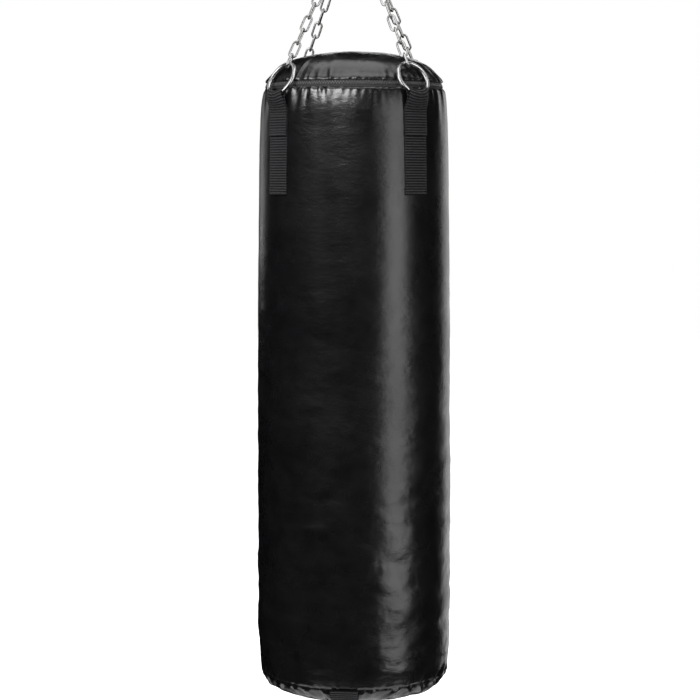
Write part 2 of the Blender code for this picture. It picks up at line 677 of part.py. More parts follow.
def zip_pull(material, pivot):
    """A tab whose fork straddles the slider's lug, with a small pin through it."""
    axis = pull_axis_height()
    inner = SLIDER_LUG + RUNNING_GAP
    outer = inner + FORK_CHEEK
    fork = FORK_HALF_THICKNESS
    tab_low = (PULL_START, axis - PULL_HALF_THICKNESS, -outer)
    tab_high = (PULL_LENGTH, axis + PULL_HALF_THICKNESS, outer)
    body = box(tab_low, tab_high)
    for side in (-1, 1):
        low, high = sorted((side * inner, side * outer))
        cheek = box((-fork, axis - fork, low), (PULL_START + FORK_CHEEK, axis + fork, high))
        body = merged(body, cheek, "UNION")
    pin_end = inner + FORK_CHEEK / 2
    pin = rod((0, axis, -pin_end), (0, axis, pin_end), PULL_PIN_RADIUS, 8)
    add_piece(merged(body, pin, "UNION"), "zip_pull", material, pivot, slider_matrix())


# --- everything ----------------------------------------------------------------------------
def build():
    for old in list(bpy.data.objects):
        bpy.data.objects.remove(old)

    steel = make_material("plated_steel", (0.75, 0.75, 0.76), 0.22, 1.0)
    bearing_steel = make_material("bearing_steel", (0.55, 0.55, 0.57), 0.3, 1.0)
    vinyl = make_material("black_vinyl", (0.012, 0.012, 0.013), 0.32)
    webbing = make_material("black_webbing", (0.010, 0.010, 0.011), 0.75)
    zip_black = make_material("zip_black", (0.014, 0.014, 0.015), 0.5)
    foam = make_material("foam", (0.30, 0.30, 0.30), 0.9)
    textile = make_material("textile_filling", (0.42, 0.40, 0.37), 0.95)

    hanger = make_pivot("hanger_pivot", (0, 0, 0))
    swivel = make_pivot("swivel_pivot", (0, 0, BOSS_TOP), hanger)
    shackle = make_pivot("shackle_pivot", (0, 0, STIRRUP_BAR_Z), swivel)
    bag = make_pivot("bag_pivot", (0, 0, PIN_Z), shackle)
    slider = make_pivot("slider_pivot", (0, 0, ZIP_Z), bag)
    pull_place = slider_matrix() @ Vector((0, pull_axis_height(), 0))
    pull = make_pivot("pull_pivot", pull_place, slider)

    swivel_eye(steel, hanger)
    swivel_nut(steel, hanger)
    swivel_bearing(bearing_steel, swivel)
    swivel_stirrup(steel, swivel)
    shackle_bow(steel, shackle)
    shackle_pin(steel, shackle)
    spreader_plate(steel, bag)

    link = link_mesh("link", LINK_INNER_LENGTH, LINK_INNER_WIDTH, LINK_WIRE)
    end_link = link_mesh("end_link", END_LINK_INNER_LENGTH, END_LINK_INNER_WIDTH, END_LINK_WIRE)
    ring = ring_mesh()
    strap = strap_mesh()
    lean = Matrix.Translation(ring_centre()) @ Matrix.Rotation(-CHAIN_TILT, 4, "Y")
    for corner, angle in CORNERS.items():
        chain(corner, link, end_link, steel, bag)
        add_piece(ring, f"ring_{corner}", steel, bag, corner_matrix(angle) @ lean)
        add_piece(strap, f"strap_{corner}", webbing, bag, corner_matrix(angle))

    top_cover(vinyl, bag)
    zip_tape(zip_black, bag)
    outer_shell(vinyl, bag)
    bottom_panel(vinyl, bag)
    foam_liner(foam, bag)
    filling(textile, bag)
    bottom_strap(webbing, bag)
    zip_slider(zip_black, slider)
    zip_pull(zip_black, pull)


build()
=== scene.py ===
"""The finished hanging heavy bag: its cloth, webbing, zip and plated steel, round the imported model."""
import json
import math
import random

import bmesh
import bpy
import numpy as np
from mathutils import Matrix, Vector, noise

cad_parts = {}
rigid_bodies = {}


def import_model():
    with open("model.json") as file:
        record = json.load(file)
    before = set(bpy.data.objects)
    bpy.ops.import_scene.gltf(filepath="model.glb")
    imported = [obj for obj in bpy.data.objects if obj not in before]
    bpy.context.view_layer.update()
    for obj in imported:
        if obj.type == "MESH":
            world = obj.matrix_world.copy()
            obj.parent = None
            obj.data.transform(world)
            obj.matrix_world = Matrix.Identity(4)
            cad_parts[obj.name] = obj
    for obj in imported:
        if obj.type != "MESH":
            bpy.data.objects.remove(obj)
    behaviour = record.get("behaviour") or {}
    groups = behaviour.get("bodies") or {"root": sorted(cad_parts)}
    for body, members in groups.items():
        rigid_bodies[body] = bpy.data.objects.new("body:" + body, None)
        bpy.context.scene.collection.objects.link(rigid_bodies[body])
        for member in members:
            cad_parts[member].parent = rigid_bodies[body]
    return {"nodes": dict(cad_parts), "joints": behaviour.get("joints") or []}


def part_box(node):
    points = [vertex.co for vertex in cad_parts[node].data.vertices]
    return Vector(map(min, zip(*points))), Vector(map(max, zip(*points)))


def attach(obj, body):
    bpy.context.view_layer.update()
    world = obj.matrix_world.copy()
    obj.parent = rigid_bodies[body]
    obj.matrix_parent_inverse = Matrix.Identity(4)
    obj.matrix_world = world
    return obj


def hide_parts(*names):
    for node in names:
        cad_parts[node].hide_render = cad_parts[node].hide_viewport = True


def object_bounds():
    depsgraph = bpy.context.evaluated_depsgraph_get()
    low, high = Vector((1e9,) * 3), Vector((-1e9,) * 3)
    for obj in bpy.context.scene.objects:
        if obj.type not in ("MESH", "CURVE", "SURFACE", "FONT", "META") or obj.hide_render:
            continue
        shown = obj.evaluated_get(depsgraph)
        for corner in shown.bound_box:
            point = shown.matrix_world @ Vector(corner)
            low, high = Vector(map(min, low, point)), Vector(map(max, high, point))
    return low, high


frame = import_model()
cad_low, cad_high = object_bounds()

# --- sizes, metres, taken from the frame where it has them ---
CORNER_NAMES = ("front_left", "front_right", "back_right", "back_left")
CORNER_ANGLES = (-45, 45, 135, -135)  # from -Y towards +X
ZIP_LOW, ZIP_HIGH = (corner.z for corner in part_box("zip_tape"))
ZIP_Z = (ZIP_LOW + ZIP_HIGH) / 2
SEAM_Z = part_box("outer_shell")[0].z  # the bottom seam
STRAP_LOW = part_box("strap_front_left")[0].z
JOINT_Z = {joint["name"]: joint["pos_m"][2] for joint in frame["joints"]}
RING_WIRE, LINK_WIRE, END_LINK_WIRE = 0.0034, 0.002, 0.0023  # radii
WEBBING, WEBBING_WIDTH = 0.0025, 0.050  # its thickness and width
RIB_PITCH = 0.0047
SURFACE_GAP = 0.0003  # between a piece and what it lies on


# --- the bag's outline ---
def cad_places(node):
    return [vertex.co for vertex in frame["nodes"][node].data.vertices]


def cad_points(*nodes):
    """(radius, z) of every vertex of these nodes."""
    return [(place.xy.length, place.z) for node in nodes for place in cad_places(node)]


def outer_chain(points):
    """The outer side of the convex outline of (radius, z) points, from the crown down to the axis."""
    points = sorted({(round(radius, 5), round(z, 5)) for radius, z in points}, key=lambda p: (-p[1], p[0]))
    chain = []
    for point in points:
        while len(chain) > 1 and turn(chain[-2], chain[-1], point) >= -1e-10:
            chain.pop()
        chain.append(point)
    return chain


def turn(a, b, c):
    """Above zero where the way from a through b to c turns left."""
    return (b[0] - a[0]) * (c[1] - a[1]) - (b[1] - a[1]) * (c[0] - a[0])


def smooth_line(t, start, start_way, end, end_way):
    """Points of a smooth line at shares t of it, leaving and arriving along the given ways."""
    line = (2 * t**3 - 3 * t**2 + 1) * start + (t**3 - 2 * t**2 + t) * start_way
    return line + (3 * t**2 - 2 * t**3) * end + (t**3 - t**2) * end_way


class Outline:
    """The bag's turned surface, read by the length along it from the crown."""

    def __init__(self, chain):
        self.points = np.array(chain)
        steps = np.hypot(*np.diff(self.points, axis=0).T)
        self.length = np.concatenate([[0.0], np.cumsum(steps)])
        slopes = np.diff(self.points, axis=0) / np.diff(self.length)[:, None]
        self.slopes = np.vstack([(1.0, 0.0), (slopes[:-1] + slopes[1:]) / 2, slopes[-1:]])

    def at(self, along):
        """Radius, height and the outward direction at lengths along the outline."""
        along = np.clip(np.asarray(along, dtype=float), 0.0, self.length[-1])
        index = np.clip(np.searchsorted(self.length, along, side="right") - 1, 0, len(self.length) - 2)
        span = self.length[index + 1] - self.length[index]
        t = ((along - self.length[index]) / span)[..., None]
        span = span[..., None]
        p0, p1 = self.points[index], self.points[index + 1]
        m0, m1 = self.slopes[index] * span, self.slopes[index + 1] * span
        place = smooth_line(t, p0, m0, p1, m1)
        slope = (6 * t**2 - 6 * t) * p0 + (3 * t**2 - 4 * t + 1) * m0
        slope += (6 * t - 6 * t**2) * p1 + (3 * t**2 - 2 * t) * m1
        slope /= np.linalg.norm(slope, axis=-1, keepdims=True)
        outward = np.stack([-slope[..., 1], slope[..., 0]], axis=-1)
        return place[..., 0], place[..., 1], outward

    def length_at(self, z):
        """The length along the outline where it passes a height."""
        samples = np.linspace(0.0, self.length[-1], 4000)
        return float(np.interp(-z, -self.at(samples)[1], samples))

    def radius_at(self, z):
        return float(self.at(self.length_at(z))[0])


BAG = Outline(outer_chain(cad_points("top_cover", "zip_tape", "outer_shell", "bottom_panel")))


# --- mesh helpers ---
HOOP_STEPS = 96  # round a ring


def new_object(name, data, smooth=True):
    piece = bpy.data.objects.new(name, data)
    bpy.context.collection.objects.link(piece)
    if smooth:
        data.shade_smooth()
        data.set_sharp_from_angle(angle=math.radians(50))
    return piece


def mesh_from(name, material, vertices, faces, weave=None):
    """A mesh, with faces turned outwards.

    weave is the place of each vertex in a woven cloth: two grids in metres, across and along it. A
    second side of the cloth repeats them.
    """
    mesh = bpy.data.meshes.new(name)
    mesh.from_pydata([tuple(v) for v in vertices], [], faces)
    mesh.materials.append(material)
    if weave:
        places = np.stack(np.broadcast_arrays(*weave), axis=-1).reshape(-1, 2).astype(np.float32)
        corners = np.array([loop.vertex_index for loop in mesh.loops]) % len(places)
        mesh.uv_layers.new(name="weave").data.foreach_set("uv", places[corners].ravel())
    bm = bmesh.new()
    bm.from_mesh(mesh)
    bmesh.ops.recalc_face_normals(bm, faces=bm.faces)
    bm.to_mesh(mesh)
    bm.free()
    return mesh


def grid_faces(rows, columns, wrap_rows=False, wrap_columns=False, start=0):
    """Quads of a grid of vertices stored row by row."""
    faces = []
    for row in range(rows if wrap_rows else rows - 1):
        above, below = start + row * columns, start + (row + 1) % rows * columns
        for column in range(columns if wrap_columns else columns - 1):
            after = (column + 1) % columns
            faces.append((above + column, above + after, below + after, below + column))
    return faces


def two_sided_faces(rows, columns, rims, wrap_columns=False):
    """Quads of a grid and of a second one behind it, with walls between them along closed rims."""
    size = rows * columns
    faces = grid_faces(rows, columns, wrap_columns=wrap_columns)
    faces += grid_faces(rows, columns, wrap_columns=wrap_columns, start=size)
    for rim in rims:
        for first, second in zip(rim, rim[1:] + rim[:1]):
            faces.append((first, second, size + second, size + first))
    return faces


def arc(centre, radius, start, end, steps):
    angles = [math.radians(start + (end - start) * step / steps) for step in range(steps + 1)]
    return [(centre[0] + radius * math.cos(a), centre[1] + radius * math.sin(a)) for a in angles]


def wire(line, radius, sides=16, closed=True, swelling=None):
    """Vertices and faces of a round bar along (x, z) points."""
    points = [Vector((x, 0, z)) for x, z in line]
    normal = Vector((0, 1, 0))
    count = len(points)
    vertices = []
    before = [points[-1 if closed else 0], *points[:-1]]
    after = [*points[1:], points[0 if closed else -1]]
    for index, point in enumerate(points):
        outward = (after[index] - before[index]).normalized().cross(normal)
        size = radius * (1.0 + (swelling(index / count) if swelling else 0.0))
        for side in range(sides):
            angle = 2 * math.pi * side / sides
            vertices.append(point + (outward * math.cos(angle) + normal * math.sin(angle)) * size)
    faces = grid_faces(count, sides, wrap_rows=closed, wrap_columns=True)
    if not closed:
        faces.append(tuple(range(sides)))
        faces.append(tuple(range((count - 1) * sides, count * sides)))
    return vertices, faces


def hoop(radius, wire_radius, sides, height=0.0):
    """A round bar bent into a whole ring that stands in the XZ plane."""
    return wire(arc((0, height), radius, 0, 360, HOOP_STEPS)[:-1], wire_radius, sides)


def circles(profile, steps):
    """Vertices on a level circle for each (radius, z) point."""
    ways = arc((0, 0), 1, 0, 360, steps)[:-1]
    return [Vector((radius * x, radius * y, z)) for radius, z in profile for x, y in ways]


def lathe(profile, steps):
    """Vertices and faces of a turned solid. The profile runs from the axis to the axis."""
    top, bottom = (Vector((0, 0, end[1])) for end in (profile[0], profile[-1]))
    vertices = [top, *circles(profile[1:-1], steps), bottom]
    faces = grid_faces(len(profile) - 2, steps, wrap_columns=True, start=1)
    last = len(vertices) - 1
    for step in range(steps):
        after = (step + 1) % steps
        faces.append((0, 1 + step, 1 + after))
        faces.append((last, last - steps + after, last - steps + step))
    return vertices, faces


def washer(inner, outer, top, bottom, edge, steps=64):
    """Vertices and faces of a flat turned ring whose outer edges are eased."""
    section = [(inner, top), (outer - edge, top), (outer, top - edge)]
    section += [(outer, bottom + edge), (outer - edge, bottom), (inner, bottom)]
    return circles(section, steps), grid_faces(len(section), steps, wrap_rows=True, wrap_columns=True)


def joined(*shapes):
    """Several (vertices, faces) shapes as one."""
    vertices = []
    faces = []
    for more, their_faces in shapes:
        start = len(vertices)
        vertices += list(more)
        faces += [tuple(start + corner for corner in face) for face in their_faces]
    return vertices, faces


def moved(shape, matrix):
    vertices, faces = shape
    return [matrix @ vertex for vertex in vertices], faces


def fit(piece, body, node=None):
    """Parents a piece to its body and hides the CAD node that it stands for, if any."""
    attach(piece, body)
    if node:
        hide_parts(node)


def corner_turn(angle):
    """Turns local +X to point from the bag's axis at an angle from -Y towards +X."""
    return Matrix.Rotation(math.radians(angle - 90), 4, "Z")


# --- material helpers ---
class Shader:
    """A Principled material with a few helpers for its procedural detail."""

    def __init__(self, name, metallic=0.0, roughness=0.5, specular=0.5):
        self.material = bpy.data.materials.new(name)
        self.material.use_nodes = True
        self.nodes = self.material.node_tree.nodes
        self.links = self.material.node_tree.links
        self.principled = self.nodes["Principled BSDF"]
        self.set("Metallic", metallic)
        self.set("Roughness", roughness)
        self.set("Specular IOR Level", specular)
        self.place = self.nodes.new("ShaderNodeTexCoord").outputs["Object"]
        self.normal = None

    def set(self, name, value):
        self.principled.inputs[name].default_value = value

    def use_weave(self):
        """Read the textures from the piece's own weave coordinates, in metres."""
        uv = self.nodes.new("ShaderNodeUVMap")
        uv.uv_map = "weave"
        self.place = uv.outputs["UV"]

    def stretched(self, scale):
        mapping = self.nodes.new("ShaderNodeMapping")
        mapping.inputs["Scale"].default_value = scale
        self.links.new(self.place, mapping.inputs["Vector"])
        return mapping.outputs["Vector"]

    def texture(self, kind, scale, place=None):
        node = self.nodes.new(kind)
        node.inputs["Scale"].default_value = scale
        self.links.new(place or self.place, node.inputs["Vector"])
        return node

    def noise(self, scale, detail=4.0, place=None):
        node = self.texture("ShaderNodeTexNoise", scale, place)
        node.inputs["Detail"].default_value = detail
        node.inputs["Roughness"].default_value = 0.55
        return node.outputs["Fac"]

    def cells(self, scale):
        return self.texture("ShaderNodeTexVoronoi", scale).outputs["Distance"]

    def bands(self, scale, direction):
        """Sine waves: their number to the metre is 20 / (2 pi) of the scale."""
        node = self.texture("ShaderNodeTexWave", scale)
        node.bands_direction = direction
        return node.outputs["Fac"]

    def math(self, operation, first, second):
        node = self.nodes.new("ShaderNodeMath")
        node.operation = operation
        for socket, value in zip(node.inputs, (first, second)):
            if isinstance(value, (int, float)):
                socket.default_value = value
            else:
                self.links.new(value, socket)
        return node.outputs["Value"]

    def ramp(self, value, *stops):
        """Grey or colour stops at positions between 0 and 1."""
        node = self.nodes.new("ShaderNodeValToRGB")
        elements = node.color_ramp.elements
        while len(elements) < len(stops):
            elements.new(0.5)
        for element, (position, colour) in zip(elements, stops):
            if isinstance(colour, (int, float)):
                colour = (colour, colour, colour)
            element.position = position
            element.color = (*colour, 1.0)
        self.links.new(value, node.inputs["Fac"])
        return node.outputs["Color"]

    def bump(self, height, depth, strength):
        """Adds a relief of this depth, in metres, over the ones before it."""
        node = self.nodes.new("ShaderNodeBump")
        node.inputs["Strength"].default_value = strength
        node.inputs["Distance"].default_value = depth
        self.links.new(height, node.inputs["Height"])
        if self.normal is not None:
            self.links.new(self.normal, node.inputs["Normal"])
        self.normal = node.outputs["Normal"]

    def finish(self, colour, roughness=None):
        self.links.new(colour, self.principled.inputs["Base Color"])
        if roughness is not None:
            self.links.new(roughness, self.principled.inputs["Roughness"])
        if self.normal is not None:
            self.links.new(self.normal, self.principled.inputs["Normal"])
        return self.material


def vinyl_material():
    """Black coated cloth: fine leather grain, soft creases and an uneven gloss."""
    shader = Shader("black_vinyl", roughness=0.25)
    grain = shader.math("ADD", shader.cells(950.0), shader.noise(1900.0, detail=2.0))
    shader.bump(grain, 0.00012, 0.35)
    creases = shader.noise(55.0, detail=5.0, place=shader.stretched((1.0, 1.0, 1.6)))
    shader.bump(creases, 0.0012, 0.32)
    ripples = shader.noise(130.0, detail=3.0, place=shader.stretched((0.6, 0.6, 1.5)))
    shader.bump(ripples, 0.0006, 0.5)
    patches = shader.noise(9.0, detail=3.0)
    rough = shader.ramp(patches, (0.3, 0.23), (0.7, 0.33))
    dark, light = (0.0014, 0.0014, 0.0016), (0.0028, 0.0028, 0.0032)
    colour = shader.ramp(shader.noise(26.0), (0.3, dark), (0.75, light))
    return shader.finish(colour, rough)


def webbing_material(name, tint):
    """Woven polypropylene: a fine weave over the ribs, painted highlights on them and painted shade between
    them, with a dull sheen.
    """
    shader = Shader(name, roughness=0.6, specular=0.14)
    shader.use_weave()
    across = shader.bands(420.0, "X")
    along = shader.bands(380.0, "Y")
    shader.bump(shader.math("MULTIPLY", across, along), 0.0004, 0.9)
    shader.bump(shader.noise(2400.0, detail=3.0), 0.0001, 0.4)
    # Painted light: the rib bands set the colour from dark (painted shade between the ribs) through tint to
    # light (a painted highlight on the rib tops); the noise that scales them varies the tone at random.
    ribs = shader.bands(2 * math.pi / (20 * RIB_PITCH), "Y")
    dark = tuple(channel * 0.1 for channel in tint)
    light = tuple(channel * 7.0 for channel in tint)
    painted_rib_light_and_shade = shader.math("MULTIPLY", ribs, shader.math("ADD", 0.55, shader.noise(160.0)))
    colour = shader.ramp(painted_rib_light_and_shade, (0.10, dark), (0.55, tint), (0.95, light))
    shader.set("Sheen Weight", 0.02)
    shader.set("Sheen Roughness", 0.5)
    return shader.finish(colour)


def thread_material():
    shader = Shader("bonded_thread", roughness=0.5)
    shader.bump(shader.bands(900.0, "DIAGONAL"), 0.00015, 0.6)
    return shader.finish(shader.ramp(shader.noise(300.0), (0.3, 0.012), (0.7, 0.022)))


def zip_tape_material():
    shader = Shader("zip_tape_cloth", roughness=0.62, specular=0.35)
    shader.use_weave()
    weave = shader.math("MULTIPLY", shader.bands(500.0, "X"), shader.bands(500.0, "Y"))
    shader.bump(weave, 0.0003, 0.7)
    return shader.finish(shader.ramp(shader.noise(150.0), (0.3, 0.004), (0.7, 0.009)))


def zip_teeth_material():
    shader = Shader("zip_teeth_plastic", roughness=0.32)
    shader.bump(shader.noise(900.0), 0.00006, 0.4)
    return shader.finish(
        shader.ramp(shader.noise(400.0), (0.3, 0.020), (0.7, 0.045)),
        shader.ramp(shader.noise(60.0), (0.3, 0.28), (0.7, 0.42)),
    )


def plated_material(name, bright, dull, roughness, scratched=0.35):
    """Zinc or nickel plate: faint darker and lighter clouds and fine scratches."""
    shader = Shader(name, metallic=1.0, roughness=roughness)
    shader.material["bright_steel"] = bright[0] > 0.5
    clouds = shader.noise(120.0, detail=3.0)
    scratches = shader.noise(700.0, detail=2.0, place=shader.stretched((1.0, 1.0, 0.2)))
    shader.bump(scratches, 0.00006, scratched)
    return shader.finish(
        shader.ramp(clouds, (0.25, dull), (0.7, bright)),
        shader.ramp(shader.noise(260.0), (0.25, roughness * 0.75), (0.8, roughness * 1.35)),
    )


def plain_cloth_material(name, low, high, scale, depth):
    """Foam or packed shreds inside the bag."""
    shader = Shader(name, roughness=0.92, specular=0.2)
    shader.bump(shader.cells(scale), depth, 0.8)
    return shader.finish(shader.ramp(shader.noise(scale * 0.6), (0.3, low), (0.7, high)))


# --- folds and dents ---
def swell(away, height, width):
    """A smooth rise of this height where away is 0, gone at about twice the width."""
    return height * np.exp(-(away / width) ** 2)


def round_bag(columns):
    """Angles all round the bag from -Y, as one row."""
    return np.linspace(-math.pi, math.pi, columns, endpoint=False)[None, :]


def folds(away, seed, count, height, reach, strength=None, width=1.0, fan=0.0):
    """Gathers that run away from a seam, all round the bag: ridges with a groove on each side.

    away is the distance from the seam, row by row. Strength is how full the cloth is by angle, width
    how much of its share of the seam a gather takes. A fan turns the gathers away from the bottom
    strap's two ends, in radians round the bag for each metre away.
    """
    draw = random.Random(seed)
    total = np.zeros(np.broadcast(AROUND, away).shape)
    spacing = 2 * math.pi / count
    for index in range(count):
        centre = -math.pi + (index + draw.uniform(0.1, 0.9)) * spacing
        size = height * draw.uniform(0.35, 1.0)
        if strength is not None:
            size *= float(strength(centre))
        half = spacing * width * draw.uniform(0.32, 0.62)
        run = reach * draw.uniform(0.45, 1.25)
        lean = draw.uniform(-0.9, 0.9) + fan * math.sin(2 * centre)
        middle = centre + lean * away
        gap = (AROUND - middle + math.pi) % (2 * math.pi) - math.pi
        u = gap / (half * (1.0 + 0.8 * away / run))
        total += size * (1.0 - u * u) * np.exp(-u * u) * np.exp(-(away / run) ** 1.5)
    return total


def unevenness(vertices, scale, stretch, octaves=4):
    """Smooth noise at each vertex, about -1 to 1."""
    return np.array([
        noise.fractal(Vector((x * scale, y * scale, z * scale * stretch)), 1.0, 2.0, octaves)
        for x, y, z in vertices
    ])


def turned_sheet(along, around, lift=0.0):
    """Points of the bag's surface raised by lift: along has a row each, around a column each."""
    radius, z, outward = BAG.at(along)
    radius = radius + outward[..., 0] * lift
    z = z + outward[..., 1] * lift
    return np.stack([radius * np.sin(around), -radius * np.cos(around), z + np.zeros_like(around)], axis=-1)


def thick_sheet(name, material, grid, thickness, pole=0, weave=None):
    """A closed piece of cloth: an outer grid, and an inner one a thickness inside it.

    A pole of 1 closes the grid's first row over the top of the bag, and -1 under its bottom.
    """
    rows, columns = grid.shape[:2]
    if pole:
        inner = grid - np.array([0.0, 0.0, pole * thickness])
    else:
        level = grid * (1.0, 1.0, 0.0)
        inner = grid - level / np.linalg.norm(level, axis=-1, keepdims=True) * thickness
    size = rows * columns
    first, last = list(range(columns)), list(range(size - columns, size))
    faces = two_sided_faces(rows, columns, [last] if pole else [first, last], wrap_columns=True)
    if pole:
        faces += [tuple(first), tuple(range(size, size + columns))]
    vertices = np.concatenate([grid, inner]).reshape(-1, 3)
    return new_object(name, mesh_from(name, material, vertices, faces, weave))


SHELL_TOP = BAG.length_at(ZIP_LOW + 0.0010)
SHELL_END = BAG.length_at(SEAM_Z)
COVER_END = BAG.length_at(ZIP_HIGH - 0.0015)
PANEL_END = BAG.length[-1] - 0.004
COLUMNS = 640  # cloth vertices round the bag
AROUND = round_bag(COLUMNS)
TOP_ROWS, SIDE_ROWS, FOOT_ROWS = 60, 190, 46  # of the shell: shoulder, side and foot
TOP_REACH, FOOT_REACH = 0.120, 0.090
COVER_ROWS, COVER_RIM_ROWS = 80, 50  # all rows, and those near the rim
COVER_RIM = 0.075  # how wide the rim is
PANEL_ROWS, PANEL_RIM_ROWS = 66, 42
SLEEVE_ROWS, SLEEVE_COLUMNS = 76, 84  # of the coarse cloth that is simulated
SLEEVE_LENGTH = 1.02  # how much longer it is cut than the bag
SLEEVE_STEPS = 12
SLEEVE_CAP = 0.0035  # how far it may move


def shoulder_gathers(angle):
    """How full the cloth is round the shoulder, by angle from the front."""
    degrees = math.degrees(angle)
    front = swell(degrees + 26, 0.75, 15) + swell(degrees - 74, 0.6, 20)
    return 0.42 + front + swell(abs(degrees) - 160, 0.45, 40)


def foot_gathers(angle):
    """How full the cloth is round the foot: the bottom strap holds it flat at the front and back."""
    return 0.3 + 0.9 * abs(math.sin(angle)) ** 1.5


def foot_folds(away, short, long):
    """The gathers at the bottom seam, the same on both of its sides, so that they cross it."""
    fine = folds(away, 13, 56, 0.0020, reach=short, strength=foot_gathers, width=0.6, fan=3.0)
    deep = folds(away, 14, 30, 0.0040, reach=long, strength=foot_gathers, width=0.4, fan=4.0)
    return fine + deep


def grid_unevenness(along, scale, stretch, octaves=4, shift=0.0):
    """Smooth noise at each point of the bag's surface, as a grid."""
    flat = turned_sheet(along, AROUND).reshape(-1, 3)
    return unevenness(flat + shift, scale, stretch, octaves).reshape(len(along), COLUMNS)


def shell_rows():
    """Lengths along the outline of the shell's rows, closest together at its seams."""
    top = SHELL_TOP + TOP_REACH * np.linspace(0, 1, TOP_ROWS) ** 1.5
    foot = SHELL_END - FOOT_REACH * np.linspace(1, 0, FOOT_ROWS) ** 1.5
    side = np.linspace(top[-1], foot[0], SIDE_ROWS)[1:-1]
    return np.concatenate([top, side, foot])[:, None]


def shell_surface():
    """The side of the bag: bulged and dented by its filling, and gathered into both seams."""
    along = shell_rows()
    below_zip = along - SHELL_TOP
    above_seam = SHELL_END - along
    height = above_seam / (SHELL_END - SHELL_TOP)
    lower = np.clip(1.2 - height * 1.45, 0.08, 1.0)
    dents = grid_unevenness(along, 6.5, 2.4)
    creases = np.abs(grid_unevenness(along, 5.0, 3.2, octaves=3, shift=3.0))
    swells = grid_unevenness(along, 2.6, 0.8, octaves=2)
    wrinkles = grid_unevenness(along, 22.0, 2.2, octaves=3)
    lift = (0.0016 * dents - 0.0020 * creases + 0.0004) * lower + 0.0010 * swells
    lift += 0.00085 * wrinkles * lower
    lift += spread(slack_cloth(), along) * (0.3 + 0.7 * lower)
    lift *= np.clip(np.minimum(below_zip, above_seam) / 0.04, 0.0, 1.0)
    lift -= swell(below_zip, 0.0024, 0.0035) + swell(above_seam, 0.0012, 0.0030)
    lift += folds(below_zip, 11, 76, 0.0032, reach=0.026, strength=shoulder_gathers, width=0.8)
    lift += folds(below_zip, 12, 30, 0.0030, reach=0.050, strength=shoulder_gathers, width=0.5)
    lift += foot_folds(above_seam, short=0.010, long=0.020)
    return turned_sheet(along, AROUND, lift)


def cover_surface():
    """The domed cover, its lip standing out over the top of the zip. Its edge wanders up and down."""
    rim_start = COVER_END - COVER_RIM
    along = np.concatenate([
        np.linspace(0.004, rim_start, COVER_ROWS - COVER_RIM_ROWS, endpoint=False),
        COVER_END - COVER_RIM * np.linspace(1, 0, COVER_RIM_ROWS) ** 1.4,
    ])[:, None]
    from_rim = COVER_END - along
    lift = folds(from_rim, 21, 72, 0.0032, reach=0.022, strength=shoulder_gathers, width=0.8)
    lift += folds(from_rim, 22, 20, 0.0036, reach=0.050, strength=shoulder_gathers, width=0.3)
    lift += swell(from_rim, 0.0011, 0.008)
    lift += 0.0022 * grid_unevenness(along, 9.0, 1.0) * np.clip(from_rim / 0.02, 0, 1)
    edge = folds(0.0, 23, 34, 0.0030, reach=1.0)
    wave = np.clip(edge - 0.0008, -0.0018, -0.0006)
    return turned_sheet(along + wave * np.exp(-from_rim / 0.012), AROUND, lift)


def panel_surface():
    """The bottom, nearly flat under the filling. Its rows run from the seam to the middle."""
    rim_start, rim_end = SHELL_END + 0.0005, SHELL_END + 0.0605
    along = np.concatenate([
        rim_start + (rim_end - rim_start) * np.linspace(0, 1, PANEL_RIM_ROWS) ** 1.4,
        np.linspace(rim_end, PANEL_END, PANEL_ROWS - PANEL_RIM_ROWS + 1)[1:],
    ])[:, None]
    from_seam = along - SHELL_END
    lift = foot_folds(from_seam, short=0.014, long=0.030)
    pulled = folds(from_seam, 32, 26, 0.0042, reach=0.036, width=0.35, fan=-5.0)
    lift += pulled * np.clip(from_seam / 0.008, 0, 1)
    lift -= swell(from_seam, 0.0012, 0.0030)
    lift += 0.0016 * grid_unevenness(along, 10.0, 1.0) * np.clip(from_seam / 0.02, 0, 1)
    return turned_sheet(along, AROUND, lift)


def slack_cloth():
    """How the filled side of the bag bulges and sags between its seams: a coarse sleeve of cloth, cut
    a little long, is blown up from inside and buckles across the bag. Returns a grid of lifts."""
    rows, columns = SLEEVE_ROWS, SLEEVE_COLUMNS
    along = np.linspace(SHELL_TOP, SHELL_END, rows)[:, None]
    around = round_bag(columns)
    flat = turned_sheet(along, around)
    start = 0.0012 * unevenness(flat.reshape(-1, 3), 9.0, 2.2, 3).reshape(rows, columns)
    grid = turned_sheet(along, around, start)
    longer = grid.copy()
    longer[..., 2] = grid[0, :, 2] + (grid[..., 2] - grid[0, :, 2]) * SLEEVE_LENGTH
    faces = grid_faces(rows, columns, wrap_columns=True)
    cloth = new_object("sleeve", mesh_from("sleeve", None, grid.reshape(-1, 3), faces))
    cloth.shape_key_add(name="Basis")
    key = cloth.shape_key_add(name="cut")
    key.data.foreach_set("co", longer.astype(np.float32).ravel())
    ends = list(range(columns)) + list(range((rows - 1) * columns, rows * columns))
    cloth.vertex_groups.new(name="held").add(ends, 1.0, "REPLACE")
    modifier = cloth.modifiers.new("cloth", "CLOTH")
    settings = modifier.settings
    settings.rest_shape_key = key
    settings.vertex_group_mass = "held"
    settings.quality = 4
    settings.mass = 0.3
    settings.tension_stiffness = 40
    settings.compression_stiffness = 40
    settings.shear_stiffness = 10
    settings.bending_stiffness = 2
    settings.use_pressure = True
    settings.uniform_pressure_force = 2.0
    settings.effector_weights.gravity = 0.0
    for step in range(1, SLEEVE_STEPS + 1):
        bpy.context.scene.frame_set(step)
    shape = cloth.evaluated_get(bpy.context.evaluated_depsgraph_get()).data
    settled = np.empty(grid.size, dtype=np.float32)
    shape.vertices.foreach_get("co", settled)
    bpy.data.objects.remove(cloth)
    bpy.context.scene.frame_set(1)
    settled = settled.reshape(rows, columns, 3)
    lift = np.hypot(settled[..., 0], settled[..., 1]) - np.hypot(flat[..., 0], flat[..., 1])
    lift -= lift.mean(axis=1)[:, None]
    return SLEEVE_CAP * np.tanh(lift / SLEEVE_CAP)


